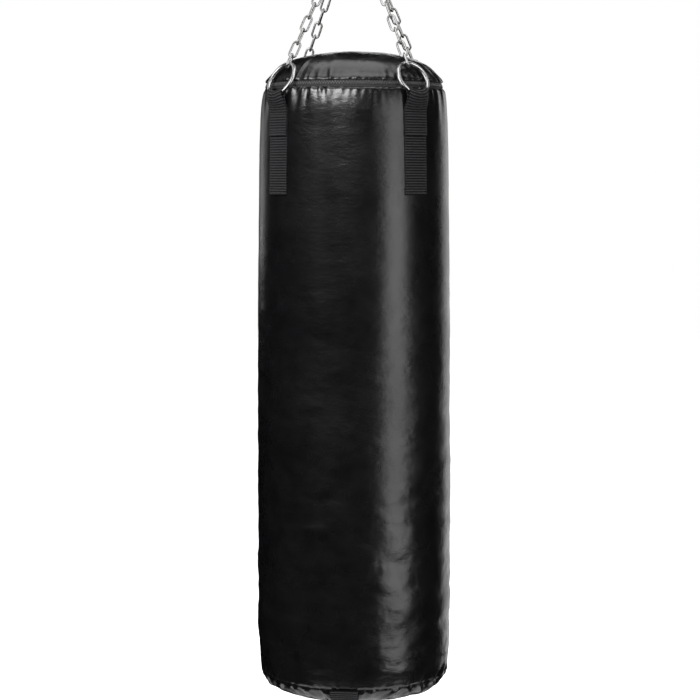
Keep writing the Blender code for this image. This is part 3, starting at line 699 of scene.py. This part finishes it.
def spread(lifts, along):
    """The sleeve's lifts read at finer rows and columns, with smooth steps between them."""
    rows, columns = lifts.shape
    row = np.clip((along - SHELL_TOP) / (SHELL_END - SHELL_TOP) * (rows - 1), 0, rows - 1.001)
    column = (AROUND + math.pi) / (2 * math.pi) * columns
    above, left = row.astype(int), column.astype(int)
    down, over = (t * t * (3 - 2 * t) for t in (row - above, column - left))
    right = (left + 1) % columns
    upper = lifts[above, left] * (1 - over) + lifts[above, right] * over
    lower = lifts[above + 1, left] * (1 - over) + lifts[above + 1, right] * over
    return upper * (1 - down) + lower * down


def padded_piece(name, node, material, grid, thickness, pole=0):
    piece = thick_sheet(name, material, grid, thickness, pole)
    fit(piece, "bag", node)


def vinyl_pieces(material):
    """The cover, side and bottom of the bag, gathered into their seams."""
    padded_piece("vinyl_shell", "outer_shell", material, shell_surface(), 0.0022)
    padded_piece("vinyl_cover", "top_cover", material, cover_surface(), 0.0014, pole=1)
    padded_piece("vinyl_bottom", "bottom_panel", material, panel_surface()[::-1], 0.0018, pole=-1)


# --- zip ---
TOOTH_PITCH = 0.0050  # between neighbours on one tape
TOOTH_SIZE = (0.0020, 0.0013, 0.0036)  # round the bag, outwards and up
TOOTH_OFFSET = 0.0014  # how far each tape's row is from the middle
TOOTH_SINK = 0.0004  # how far the teeth are let into the tapes
ZIP_COLUMNS = 360


def zip_tapes(material, start, end):
    """Two woven tapes that meet at the teeth, each with two low ridges, all round the shoulder."""
    middle = (start + end) / 2
    across = np.linspace(start, end, 25)[:, None]
    around = round_bag(ZIP_COLUMNS)
    from_middle = np.abs(across - middle)
    lift = swell(from_middle - 0.0042, 0.0005, 0.0008) + swell(from_middle - 0.0072, 0.0008, 0.0009)
    sheet = turned_sheet(across, around, lift - 0.0012)
    weave = (around * BAG.at(middle)[0], across)
    tape = thick_sheet("zip_tape_cloth", material, sheet, 0.0014, weave=weave)
    fit(tape, "bag", "zip_tape")


def zip_teeth(material, middle):
    """Moulded teeth, in turn on the upper and the lower tape."""
    radius, z, (out_x, out_z) = BAG.at(middle)
    out = Vector((out_x, 0, out_z))
    up = Vector((-out_z, 0, out_x))
    axes = Matrix((out.cross(up), out, up)).transposed().to_4x4()
    block = rounded_block(*TOOTH_SIZE)
    count = round(2 * math.pi * radius / TOOTH_PITCH) * 2
    shapes = []
    for index in range(count):
        side = TOOTH_OFFSET if index % 2 else -TOOTH_OFFSET
        place = Vector((radius, 0, z)) - out * TOOTH_SINK + up * side
        turn_to = Matrix.Rotation(2 * math.pi * index / count, 4, "Z")
        shapes.append(moved(block, turn_to @ Matrix.Translation(place) @ axes))
    fit(new_object("zip_teeth", mesh_from("zip_teeth", material, *joined(*shapes))), "bag")


def zip_band(tape_material, teeth_material):
    start = BAG.length_at(ZIP_HIGH + 0.0005)
    end = BAG.length_at(ZIP_LOW - 0.0005)
    zip_tapes(tape_material, start, end)
    zip_teeth(teeth_material, (start + end) / 2)


def rounded_block(width, depth, height):
    """A small block with its edges cut off, centred on the origin."""
    bm = bmesh.new()
    bmesh.ops.create_cube(bm, size=1.0)
    bmesh.ops.scale(bm, verts=bm.verts, vec=(width, depth, height))
    bmesh.ops.bevel(bm, geom=list(bm.edges), offset=min(width, depth) * 0.3, segments=1, affect="EDGES")
    bm.verts.index_update()
    vertices = [vertex.co.copy() for vertex in bm.verts]
    faces = [tuple(vertex.index for vertex in face.verts) for face in bm.faces]
    bm.free()
    return vertices, faces


# --- chains, rings ---
def principal_axes(node):
    """The middle of a node and its own axes, the longest first, as a matrix with that axis as Z."""
    points = np.array(cad_places(node))
    middle = points.mean(axis=0)
    _, vectors = np.linalg.eigh(np.cov((points - middle).T))
    longest, second = Vector(vectors[:, 2]), Vector(vectors[:, 1])
    axes = Matrix((second, longest.cross(second), longest)).transposed().to_4x4()
    return Matrix.Translation(Vector(middle)) @ axes


def size_along(node, axes):
    """A node's size along its own axes."""
    inverse = axes.inverted()
    points = np.array([inverse @ place for place in cad_places(node)])
    return points.max(axis=0) - points.min(axis=0)


def link_shape(length, width, wire_radius):
    """An oblong link of an outer length and width, standing along Z, with a weld in one side."""
    bend = width / 2 - wire_radius
    straight = length / 2 - wire_radius - bend
    side = [(bend, -straight + 2 * straight * step / 6) for step in range(1, 6)]
    line = arc((0, straight), bend, 0, 180, 18) + [(-x, -z) for x, z in side]
    line += arc((0, -straight), bend, 180, 360, 18) + side
    weld = len(line) - 3

    def swelling(share):
        return swell(share * len(line) - weld, 0.13, 0.9)
    return wire(line, wire_radius, 14, swelling=swelling)


def steel_on(node, mesh):
    """A mesh, made about the origin, in the place of a link or ring of the CAD model."""
    piece = new_object(f"steel_{node}", mesh)
    piece.matrix_world = principal_axes(node)
    fit(piece, "bag", node)


def link_mesh(node, material, wire_radius):
    width, _, length = size_along(node, principal_axes(node))
    return mesh_from("link", material, *link_shape(length, width, wire_radius))


def chains(material, end_material):
    link = link_mesh("link_front_left_1", material, LINK_WIRE)
    end_link = link_mesh("end_link_front_left", end_material, END_LINK_WIRE)
    for corner in CORNER_NAMES:
        for index in range(1, 8):
            steel_on(f"link_{corner}_{index}", link)
        steel_on(f"end_link_{corner}", end_link)


def ring_radius(node):
    """From a ring's middle to the middle of its wire."""
    return size_along(node, principal_axes(node))[2] / 2 - RING_WIRE


def rings(material):
    mesh = mesh_from("ring", material, *hoop(ring_radius("ring_front_left"), RING_WIRE, 20))
    for corner in CORNER_NAMES:
        steel_on(f"ring_{corner}", mesh)


# --- webbing ---
RIB_HEIGHT = 0.0009
LOOP_SQUEEZE = 0.84  # the webbing is drawn in where it goes round its ring
TAIL_ABOVE = 0.1055  # the doubled webbing's end, above the strap's lower end
FOOT_ABOVE = 0.1455  # where the loop leaves the sewn webbing
INNER_LIFT = SURFACE_GAP + WEBBING / 2  # of the webbing's middle off the bag
OUTER_LIFT = INNER_LIFT + WEBBING + 0.0001  # of the tail's middle, on the webbing below it
STITCH_SIZE = (0.0022, 0.0006, 0.0008)
STITCHES = 12  # in a row across the webbing
ROW_PITCH = 0.0006  # about how far apart the rows of a strap's mesh are
PUCKER = 0.0009  # how far the drawn-in loop buckles
ACROSS = np.linspace(-WEBBING_WIDTH / 2, WEBBING_WIDTH / 2, 27)
LOOP_FLAT = 0.045  # half of the flat stretch of the strap under the bag
LOOP_LEAVES, LOOP_ARRIVES = (-0.075, -0.004), (-0.060, 0.0)


def on_bag(top, bottom, lift, steps):
    """(radius, z) points down the bag at a lift off its surface."""
    along = np.linspace(BAG.length_at(top), BAG.length_at(bottom), steps)
    radius, z, outward = BAG.at(along)
    return np.stack([radius + outward[:, 0] * lift, z + outward[:, 1] * lift], axis=-1)


def strap_path(ring_low, down, out, rise):
    """The webbing's middle line: up the outside, over the ring, and down the inside to the end.

    With it comes how loose each point is: 0 on the bag, 1 over the ring.
    """
    foot = STRAP_LOW + FOOT_ABOVE
    outside = on_bag(foot, STRAP_LOW + TAIL_ABOVE, OUTER_LIFT, 70)[::-1]
    inside = on_bag(foot, STRAP_LOW, INNER_LIFT, 250)
    bend = RING_WIRE + SURFACE_GAP + WEBBING / 2
    middle = ring_low - down * rise
    turn_over = np.linspace(0, math.pi, 26)[:, None]
    over = middle + out * bend * np.cos(turn_over) - down * bend * np.sin(turn_over)
    reach = np.linalg.norm(over[0] - outside[-1]) * 1.1
    leave = (outside[-1] - outside[-2]) * reach / ROW_PITCH
    arrive = (inside[1] - inside[0]) * reach / ROW_PITCH
    shares = np.linspace(0, 1, 60)[:, None]
    climb = smooth_line(shares, outside[-1], leave, over[0], -down * reach)[:-1]
    drop = smooth_line(shares, over[-1], down * reach, inside[0], arrive)[1:-1]
    line = np.concatenate([outside[:-1], climb, over, drop, inside])
    loose = np.concatenate([
        np.zeros(len(outside) - 1), np.linspace(0, 1, len(climb)), np.ones(len(over)),
        np.linspace(1, 0, len(drop)), np.zeros(len(inside)),
    ])
    return line, loose * loose * (3 - 2 * loose)


def woven(name, middles, material):
    """A closed strip of ribbed webbing about a grid of middle points."""
    rows, columns = middles.shape[:2]
    normals = grid_normals(middles)
    steps = np.linalg.norm(np.diff(middles[:, columns // 2], axis=0), axis=-1)
    run = np.concatenate([[0.0], np.cumsum(steps)])
    ribs = RIB_HEIGHT * (np.abs(np.sin(math.pi * run / RIB_PITCH)) - 0.6)
    edge = 1 - 0.5 * (np.abs(ACROSS) / ACROSS.max()) ** 12
    half = (WEBBING / 2 + ribs)[:, None, None] * edge[None, :, None]
    sides = np.concatenate([middles + normals * half, middles - normals * half])
    number = np.arange(rows * columns).reshape(rows, columns)
    rim = np.concatenate([number[0], number[1:, -1], number[-1, -2::-1], number[-2:0:-1, 0]])
    faces = two_sided_faces(rows, columns, [rim.tolist()])
    return mesh_from(name, material, sides.reshape(-1, 3), faces, weave=(ACROSS[None, :], run[:, None]))


def strap_mesh(material):
    """One hanging strap at +X. It follows the ring's curve, so its sides ride up round the ring."""
    ring = principal_axes("ring_front_right").translation
    radius = ring_radius("ring_front_right")
    lean = chain_lean()
    down = np.array([math.sin(lean), -math.cos(lean)])
    out = np.array([math.cos(lean), math.sin(lean)])
    ring_low = np.array([ring.xy.length, ring.z]) + down * radius
    columns = []
    for offset in ACROSS:
        drawn_in = offset * LOOP_SQUEEZE
        rise = radius - math.sqrt(radius ** 2 - drawn_in ** 2)
        line, loose = strap_path(ring_low, down, out, rise)
        from_axis, z = line.T
        side = offset * (1 - loose) + drawn_in * loose
        angle = side / np.maximum(from_axis, 0.01)
        x = from_axis * (np.cos(angle) * (1 - loose) + loose)
        y = from_axis * np.sin(angle) * (1 - loose) + side * loose
        pucker = PUCKER * loose * np.sin(420.0 * offset + 110.0 * z)
        columns.append(np.stack([x + pucker, y, z], axis=-1))
    return woven("strap", np.stack(columns, axis=1), material)


def grid_normals(grid):
    """The way out of a sheet at each of its points."""
    down = np.gradient(grid, axis=0)
    over = np.gradient(grid, axis=1)
    normals = np.cross(over, down)
    return normals / np.linalg.norm(normals, axis=-1, keepdims=True)


def chain_lean():
    """The angle between the bag's axis and the chains, from two links of one chain."""
    first, last = (principal_axes(f"link_front_right_{index}").translation for index in (1, 7))
    return math.atan2(last.xy.length - first.xy.length, first.z - last.z)


def strap_stitches(material):
    """Rows of stitches across the strap at +X: at its end, under its tail and at the loop's foot."""
    tail, foot = STRAP_LOW + TAIL_ABOVE, STRAP_LOW + FOOT_ABOVE
    rows = (
        (STRAP_LOW + 0.004, INNER_LIFT), (STRAP_LOW + 0.009, INNER_LIFT),
        (tail + 0.004, OUTER_LIFT), (tail + 0.010, OUTER_LIFT), (foot - 0.003, OUTER_LIFT),
    )
    stitch = rounded_block(*STITCH_SIZE)
    half = WEBBING_WIDTH / 2 - 0.003
    shapes = []
    for z, lift in rows:
        reach = BAG.radius_at(z) + lift + WEBBING / 2 + 0.0002
        for index in range(STITCHES):
            angle = (-half + 2 * half * (index + 0.5) / STITCHES) / reach
            out = Vector((math.cos(angle), math.sin(angle), 0))
            along = Vector((-math.sin(angle), math.cos(angle), 0))
            axes = Matrix((along, out, along.cross(out))).transposed().to_4x4()
            shapes.append(moved(stitch, Matrix.Translation(out * reach + Vector((0, 0, z))) @ axes))
    return mesh_from("stitches", material, *joined(*shapes))


def straps(material, thread):
    strap = strap_mesh(material)
    stitches = strap_stitches(thread)
    for corner, angle in zip(CORNER_NAMES, CORNER_ANGLES):
        webbing = new_object(f"webbing_strap_{corner}", strap)
        sewing = new_object(f"strap_stitches_{corner}", stitches)
        webbing.matrix_world = sewing.matrix_world = corner_turn(angle)
        fit(webbing, "bag", f"strap_{corner}")
        fit(sewing, "bag")


def bottom_loop(material):
    """The strap under the bag, from the front of the seam to the back in one shallow loop."""
    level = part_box("bottom_strap")[0].z + WEBBING / 2
    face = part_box("bottom_panel")[0].z
    side = on_bag(SEAM_Z - 0.0005, face + 0.0004, INNER_LIFT + 0.0008, 60)
    shares = np.linspace(0, 1, 70)[:, None]
    hang = smooth_line(shares, side[-1], LOOP_LEAVES, (LOOP_FLAT, level), LOOP_ARRIVES)
    half = np.concatenate([side, hang[1:]])
    middle = np.stack([np.linspace(LOOP_FLAT, -LOOP_FLAT, 90), np.full(90, level)], axis=-1)
    line = np.concatenate([half, middle[1:-1], half[::-1] * (-1.0, 1.0)])
    middles = np.stack(np.broadcast_arrays(ACROSS, -line[:, :1], line[:, 1:]), axis=-1)
    piece = new_object("webbing_bottom_strap", woven("bottom_strap", middles, material))
    fit(piece, "bag", "bottom_strap")


# --- swivel, shackle and spreader ---
EYE_RADIUS, EYE_WIRE = 0.018, 0.004
STEM_RADIUS, COLLAR_RADIUS = 0.0050, 0.0085
STIRRUP_WIRE, STIRRUP_HALF, STIRRUP_CORNER = 0.0045, 0.0175, 0.009  # half is half of its width
SHACKLE_WIRE, SHACKLE_HALF, SHACKLE_LEG, SHACKLE_EAR = 0.004, 0.0143, 0.026, 0.009
PIN_Z, BAR_Z, BOSS_TOP = (JOINT_Z[name] for name in ("bag_swing", "shackle_swing", "swivel_spin"))
BOSS_HEIGHT, BOSS_RADIUS, BOSS_BORE = 0.012, 0.011, 0.0054
EAR_BORE = 0.0044
BALLS, BALL_RADIUS = 15, 0.0013
RACE_GAP = 0.0016  # between the bearing's two races
THREAD_PITCH, THREAD_DEPTH = 0.00125, 0.0006
EASED = 0.0004  # how much the eye's small edges are cut off


def steel_piece(name, material, shape, body, node):
    fit(new_object(name, mesh_from(name, material, *shape)), body, node)


def bevelled_copy(name, material, width, body, node):
    """A CAD piece's own shape with its edges rounded."""
    source = frame["nodes"][node]
    piece = new_object(name, source.data.copy(), smooth=False)
    piece.matrix_world = source.matrix_world
    piece.data.materials.clear()
    piece.data.materials.append(material)
    modifier = piece.modifiers.new("round", "BEVEL")
    modifier.width = width
    modifier.segments = 3
    modifier.limit_method = "ANGLE"
    modifier.angle_limit = math.radians(35)
    modifier.harden_normals = True
    finished = bpy.data.meshes.new_from_object(piece.evaluated_get(bpy.context.evaluated_depsgraph_get()))
    piece.modifiers.clear()
    piece.data = finished
    finished.shade_smooth()
    finished.set_sharp_from_angle(angle=math.radians(40))
    fit(piece, body, node)


def thread_profile(top, bottom, radius):
    """(radius, z) points down the side of a threaded stem. Its threads are level rings."""
    points = []
    z = top
    while z - THREAD_PITCH > bottom:
        points += [(radius, z), (radius - THREAD_DEPTH, z - THREAD_PITCH / 2)]
        z -= THREAD_PITCH
    return points + [(radius, z), (radius - THREAD_DEPTH, bottom)]


def swivel_eye(material):
    """The eye, its stem, the collar that rests on the boss and the threads for the nut."""
    neck = EYE_WIRE - 2 * EYE_RADIUS
    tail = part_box("swivel_eye")[0].z
    collar = BOSS_TOP + 0.0004
    profile = [
        (0, neck), (STEM_RADIUS, neck), (STEM_RADIUS, neck - 0.003), (0.0058, neck - 0.0048),
        (COLLAR_RADIUS - EASED, neck - 0.0064), (COLLAR_RADIUS, neck - 0.0072),
        (COLLAR_RADIUS, collar + EASED), (COLLAR_RADIUS - EASED, collar), (STEM_RADIUS, collar),
    ]
    profile += thread_profile(collar - 0.0186, tail + EASED, STEM_RADIUS)
    profile.append((0, tail + EASED / 2))
    eye = hoop(EYE_RADIUS, EYE_WIRE, 24, height=EYE_WIRE - EYE_RADIUS)
    steel_piece("forged_eye", material, joined(eye, lathe(profile, 48)), "hanger", "swivel_eye")


def swivel_bearing(material):
    """Two races with the balls showing between them."""
    low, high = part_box("swivel_bearing")
    outer = high.x
    middle = (low.z + high.z) / 2
    shapes = [
        washer(BOSS_BORE, outer, high.z, middle + RACE_GAP / 2, 0.0003),
        washer(BOSS_BORE, outer, middle - RACE_GAP / 2, low.z, 0.0003),
    ]
    ball = lathe([(x, z) for z, x in arc((0, 0), BALL_RADIUS, 0, 180, 8)], 12)
    for index in range(BALLS):
        turn_to = Matrix.Rotation(2 * math.pi * index / BALLS, 4, "Z")
        shapes.append(moved(ball, turn_to @ Matrix.Translation((outer - 0.0016, 0, middle))))
    steel_piece("ball_race", material, joined(*shapes), "swivel", "swivel_bearing")


def swivel_stirrup(material):
    """A bar bent into a closed rectangle, with the boss that the eye's stem goes through."""
    top = BOSS_TOP - BOSS_HEIGHT / 2
    inner = STIRRUP_HALF - STIRRUP_CORNER
    outline = arc((inner, top - STIRRUP_CORNER), STIRRUP_CORNER, 90, 0, 12)
    outline += arc((inner, BAR_Z + STIRRUP_CORNER), STIRRUP_CORNER, 0, -90, 12)
    outline += [(-x, z) for x, z in reversed(outline)]
    boss = washer(BOSS_BORE, BOSS_RADIUS, BOSS_TOP, BOSS_TOP - BOSS_HEIGHT, 0.001)
    bar = wire(outline, STIRRUP_WIRE, 24)
    steel_piece("forged_stirrup", material, joined(bar, boss), "swivel", "swivel_stirrup")


def shackle(material):
    """The bow, an ear at each of its ends, and the bolt through them."""
    leg = [(SHACKLE_HALF, PIN_Z + SHACKLE_LEG * step / 6) for step in range(6)]
    line = leg + arc((0, PIN_Z + SHACKLE_LEG), SHACKLE_HALF, 0, 180, 28)
    line += [(-x, z) for x, z in reversed(leg)]
    bow = moved(wire(line, SHACKLE_WIRE, 20, closed=False), Matrix.Rotation(math.pi / 2, 4, "Z"))
    along_y = Matrix.Translation((0, 0, PIN_Z)) @ Matrix.Rotation(math.radians(-90), 4, "X")
    ears = []
    for middle in (-SHACKLE_HALF, SHACKLE_HALF):
        ear = washer(EAR_BORE, SHACKLE_EAR, middle + SHACKLE_WIRE, middle - SHACKLE_WIRE, 0.001, 48)
        ears.append(moved(ear, along_y))
    steel_piece("forged_bow", material, joined(bow, *ears), "shackle", "shackle_bow")
    bevelled_copy("shackle_bolt", material, 0.0005, "shackle", "shackle_pin")


def hardware(material, bearing_material):
    swivel_eye(material)
    swivel_bearing(bearing_material)
    swivel_stirrup(material)
    shackle(material)
    bevelled_copy("lock_nut", material, 0.0006, "hanger", "swivel_nut")
    bevelled_copy("spreader", material, 0.0007, "bag", "spreader_plate")


def dress(name, material):
    """Gives a CAD node that keeps its shape a finished material."""
    materials = frame["nodes"][name].data.materials
    materials.clear()
    materials.append(material)


# --- camera, stage and light ---
CAMERA_TURN = math.radians(6)  # the view is from a little to the right of the front
CAMERA_DISTANCE = 3.7
CAMERA_ABOVE_ZIP = -0.1724
CAMERA_TILT = math.radians(4.89)
CAMERA_PAN = math.radians(0.115)  # to the left
CAMERA_LENS = 102.2
TENT_PLACE = (-0.30, 1.6)  # the height that the tent's panels face, and their distance
FLOOR_BELOW = 0.42  # how far the floor is under the bag


def camera():
    data = bpy.data.cameras.new("camera")
    data.lens = CAMERA_LENS
    data.sensor_width = 36.0
    piece = new_object("camera", data, smooth=False)
    place = Vector((math.sin(CAMERA_TURN), -math.cos(CAMERA_TURN), 0)) * CAMERA_DISTANCE
    piece.location = place + Vector((0, 0, ZIP_Z + CAMERA_ABOVE_ZIP))
    piece.rotation_euler = (math.pi / 2 - CAMERA_TILT, 0, CAMERA_TURN + CAMERA_PAN)
    bpy.context.scene.camera = piece


def softbox(only, name, azimuth, lift, height, distance, size, brightness):
    """A soft panel that lights one collection. It faces a point of the bag's axis at this height, from
    a way given in degrees: azimuth from the camera's side to its right, and lift above the level."""
    data = bpy.data.lights.new(name, "AREA")
    data.shape = "RECTANGLE"
    data.size, data.size_y = size
    data.energy = brightness * math.pi * size[0] * size[1]
    piece = new_object(name, data, smooth=False)
    angle = CAMERA_TURN + math.radians(azimuth)
    rise = math.radians(lift)
    out = Vector((math.sin(angle) * math.cos(rise), -math.cos(angle) * math.cos(rise), math.sin(rise)))
    piece.location = Vector((0, 0, height)) + out * distance
    piece.rotation_mode = "QUATERNION"
    piece.rotation_quaternion = out.to_track_quat("Z", "Y")
    piece.light_linking.receiver_collection = only
    piece.visible_camera = False


def lit_pieces(name, steel):
    """A collection of the bright steel pieces, or of all the others, for lights that shine on it alone."""
    collection = bpy.data.collections.new(name)
    for piece in bpy.context.scene.objects:
        if piece.type == "MESH" and piece.data.materials:
            if bool(piece.data.materials[0].get("bright_steel")) == steel:
                collection.objects.link(piece)
    return collection


def cloth_lights():
    """The strip, key and panels whose reflections the photograph shows in the black vinyl."""
    cloth = lit_pieces("cloth", steel=False)
    softbox(cloth, "tall_strip_right", 49.5, 0, -0.90, 2.5, (1.10, 2.7), 3.2)
    softbox(cloth, "panel_behind_right", 148, 0, -0.85, 2.8, (1.6, 3.0), 1.1)
    softbox(cloth, "panel_behind_left", -144, 0, -0.35, 2.8, (0.9, 0.9), 0.9)
    softbox(cloth, "strip_behind", 178, 0, -0.85, 2.6, (0.7, 2.6), 2.4)
    softbox(cloth, "fill_left", -41, 0, -0.40, 2.8, (0.60, 0.9), 0.25)
    softbox(cloth, "key_front_left", -34, 30, -0.35, 2.8, (3.0, 0.9), 20.0)
    softbox(cloth, "overhead", 180, 89, -0.35, 2.6, (3.2, 2.4), 2.7)
    softbox(cloth, "under_bag", 0, -82, -1.45, 0.42, (0.9, 0.7), 1.5)


def steel_lights():
    """A light tent that only the bright steel picks up, with dark gaps that draw its edges."""
    steel = lit_pieces("bright_steel", steel=True)
    softbox(steel, "tent_left", -44, 10, *TENT_PLACE, (1.3, 1.8), 1.9)
    softbox(steel, "tent_right", 50, 10, *TENT_PLACE, (0.9, 1.8), 1.8)
    softbox(steel, "tent_top", 0, 70, *TENT_PLACE, (2.0, 1.2), 1.3)
    softbox(steel, "tent_back_left", -135, 30, *TENT_PLACE, (1.2, 1.4), 0.8)
    softbox(steel, "tent_back_right", 135, 30, *TENT_PLACE, (1.2, 1.4), 0.8)


def stage():
    """A pale floor under the hanging bag, and even white light all round."""
    shader = Shader("pale_floor", roughness=0.9, specular=0.1)
    shader.set("Emission Color", (1, 1, 1, 1))
    shader.set("Emission Strength", 0.35)
    material = shader.finish(shader.ramp(shader.noise(0.8), (0.3, 0.80), (0.7, 0.84)))
    disc = mesh_from("floor", material, circles([(14.0, 0.0)], 96), [tuple(range(96))])
    floor = new_object("floor", disc, smooth=False)
    floor.location = (0, 0, cad_low.z - FLOOR_BELOW)
    floor.visible_glossy = False

    world = bpy.data.worlds.new("studio")
    bpy.context.scene.world = world
    world.use_nodes = True
    background = world.node_tree.nodes["Background"]
    background.inputs["Color"].default_value = (1, 1, 1, 1)
    background.inputs["Strength"].default_value = 1.0
    world.cycles_visibility.glossy = False
    bpy.context.scene.view_settings.view_transform = "Standard"


# --- everything ---
camera()
stage()
vinyl = vinyl_material()
webbing = webbing_material("black_webbing", (0.0026, 0.0026, 0.0029))
thread = thread_material()
chain_steel = plated_material("zinc_plate", (0.80, 0.80, 0.79), (0.62, 0.62, 0.61), 0.26)
ring_steel = plated_material("nickel_plate", (0.86, 0.86, 0.86), (0.78, 0.78, 0.78), 0.26, 0.15)
hardware_steel = plated_material("dull_zinc_plate", (0.80, 0.80, 0.80), (0.62, 0.62, 0.62), 0.30)
zip_metal = plated_material("black_plate", (0.17, 0.17, 0.18), (0.10, 0.10, 0.10), 0.32)
bearing_steel = plated_material("bearing_race", (0.62, 0.62, 0.64), (0.48, 0.48, 0.50), 0.34)

vinyl_pieces(vinyl)
zip_band(zip_tape_material(), zip_teeth_material())
chains(chain_steel, ring_steel)
rings(ring_steel)
hardware(hardware_steel, bearing_steel)
straps(webbing, thread)
bottom_loop(webbing)
bevelled_copy("zip_slider_body", zip_metal, 0.0003, "slider", "zip_slider")
bevelled_copy("zip_pull_tab", zip_metal, 0.00025, "pull", "zip_pull")
dress("foam_liner", plain_cloth_material("foam", 0.25, 0.34, 700.0, 0.0004))
dress("filling", plain_cloth_material("textile_shreds", 0.30, 0.45, 160.0, 0.002))

cloth_lights()
steel_lights()
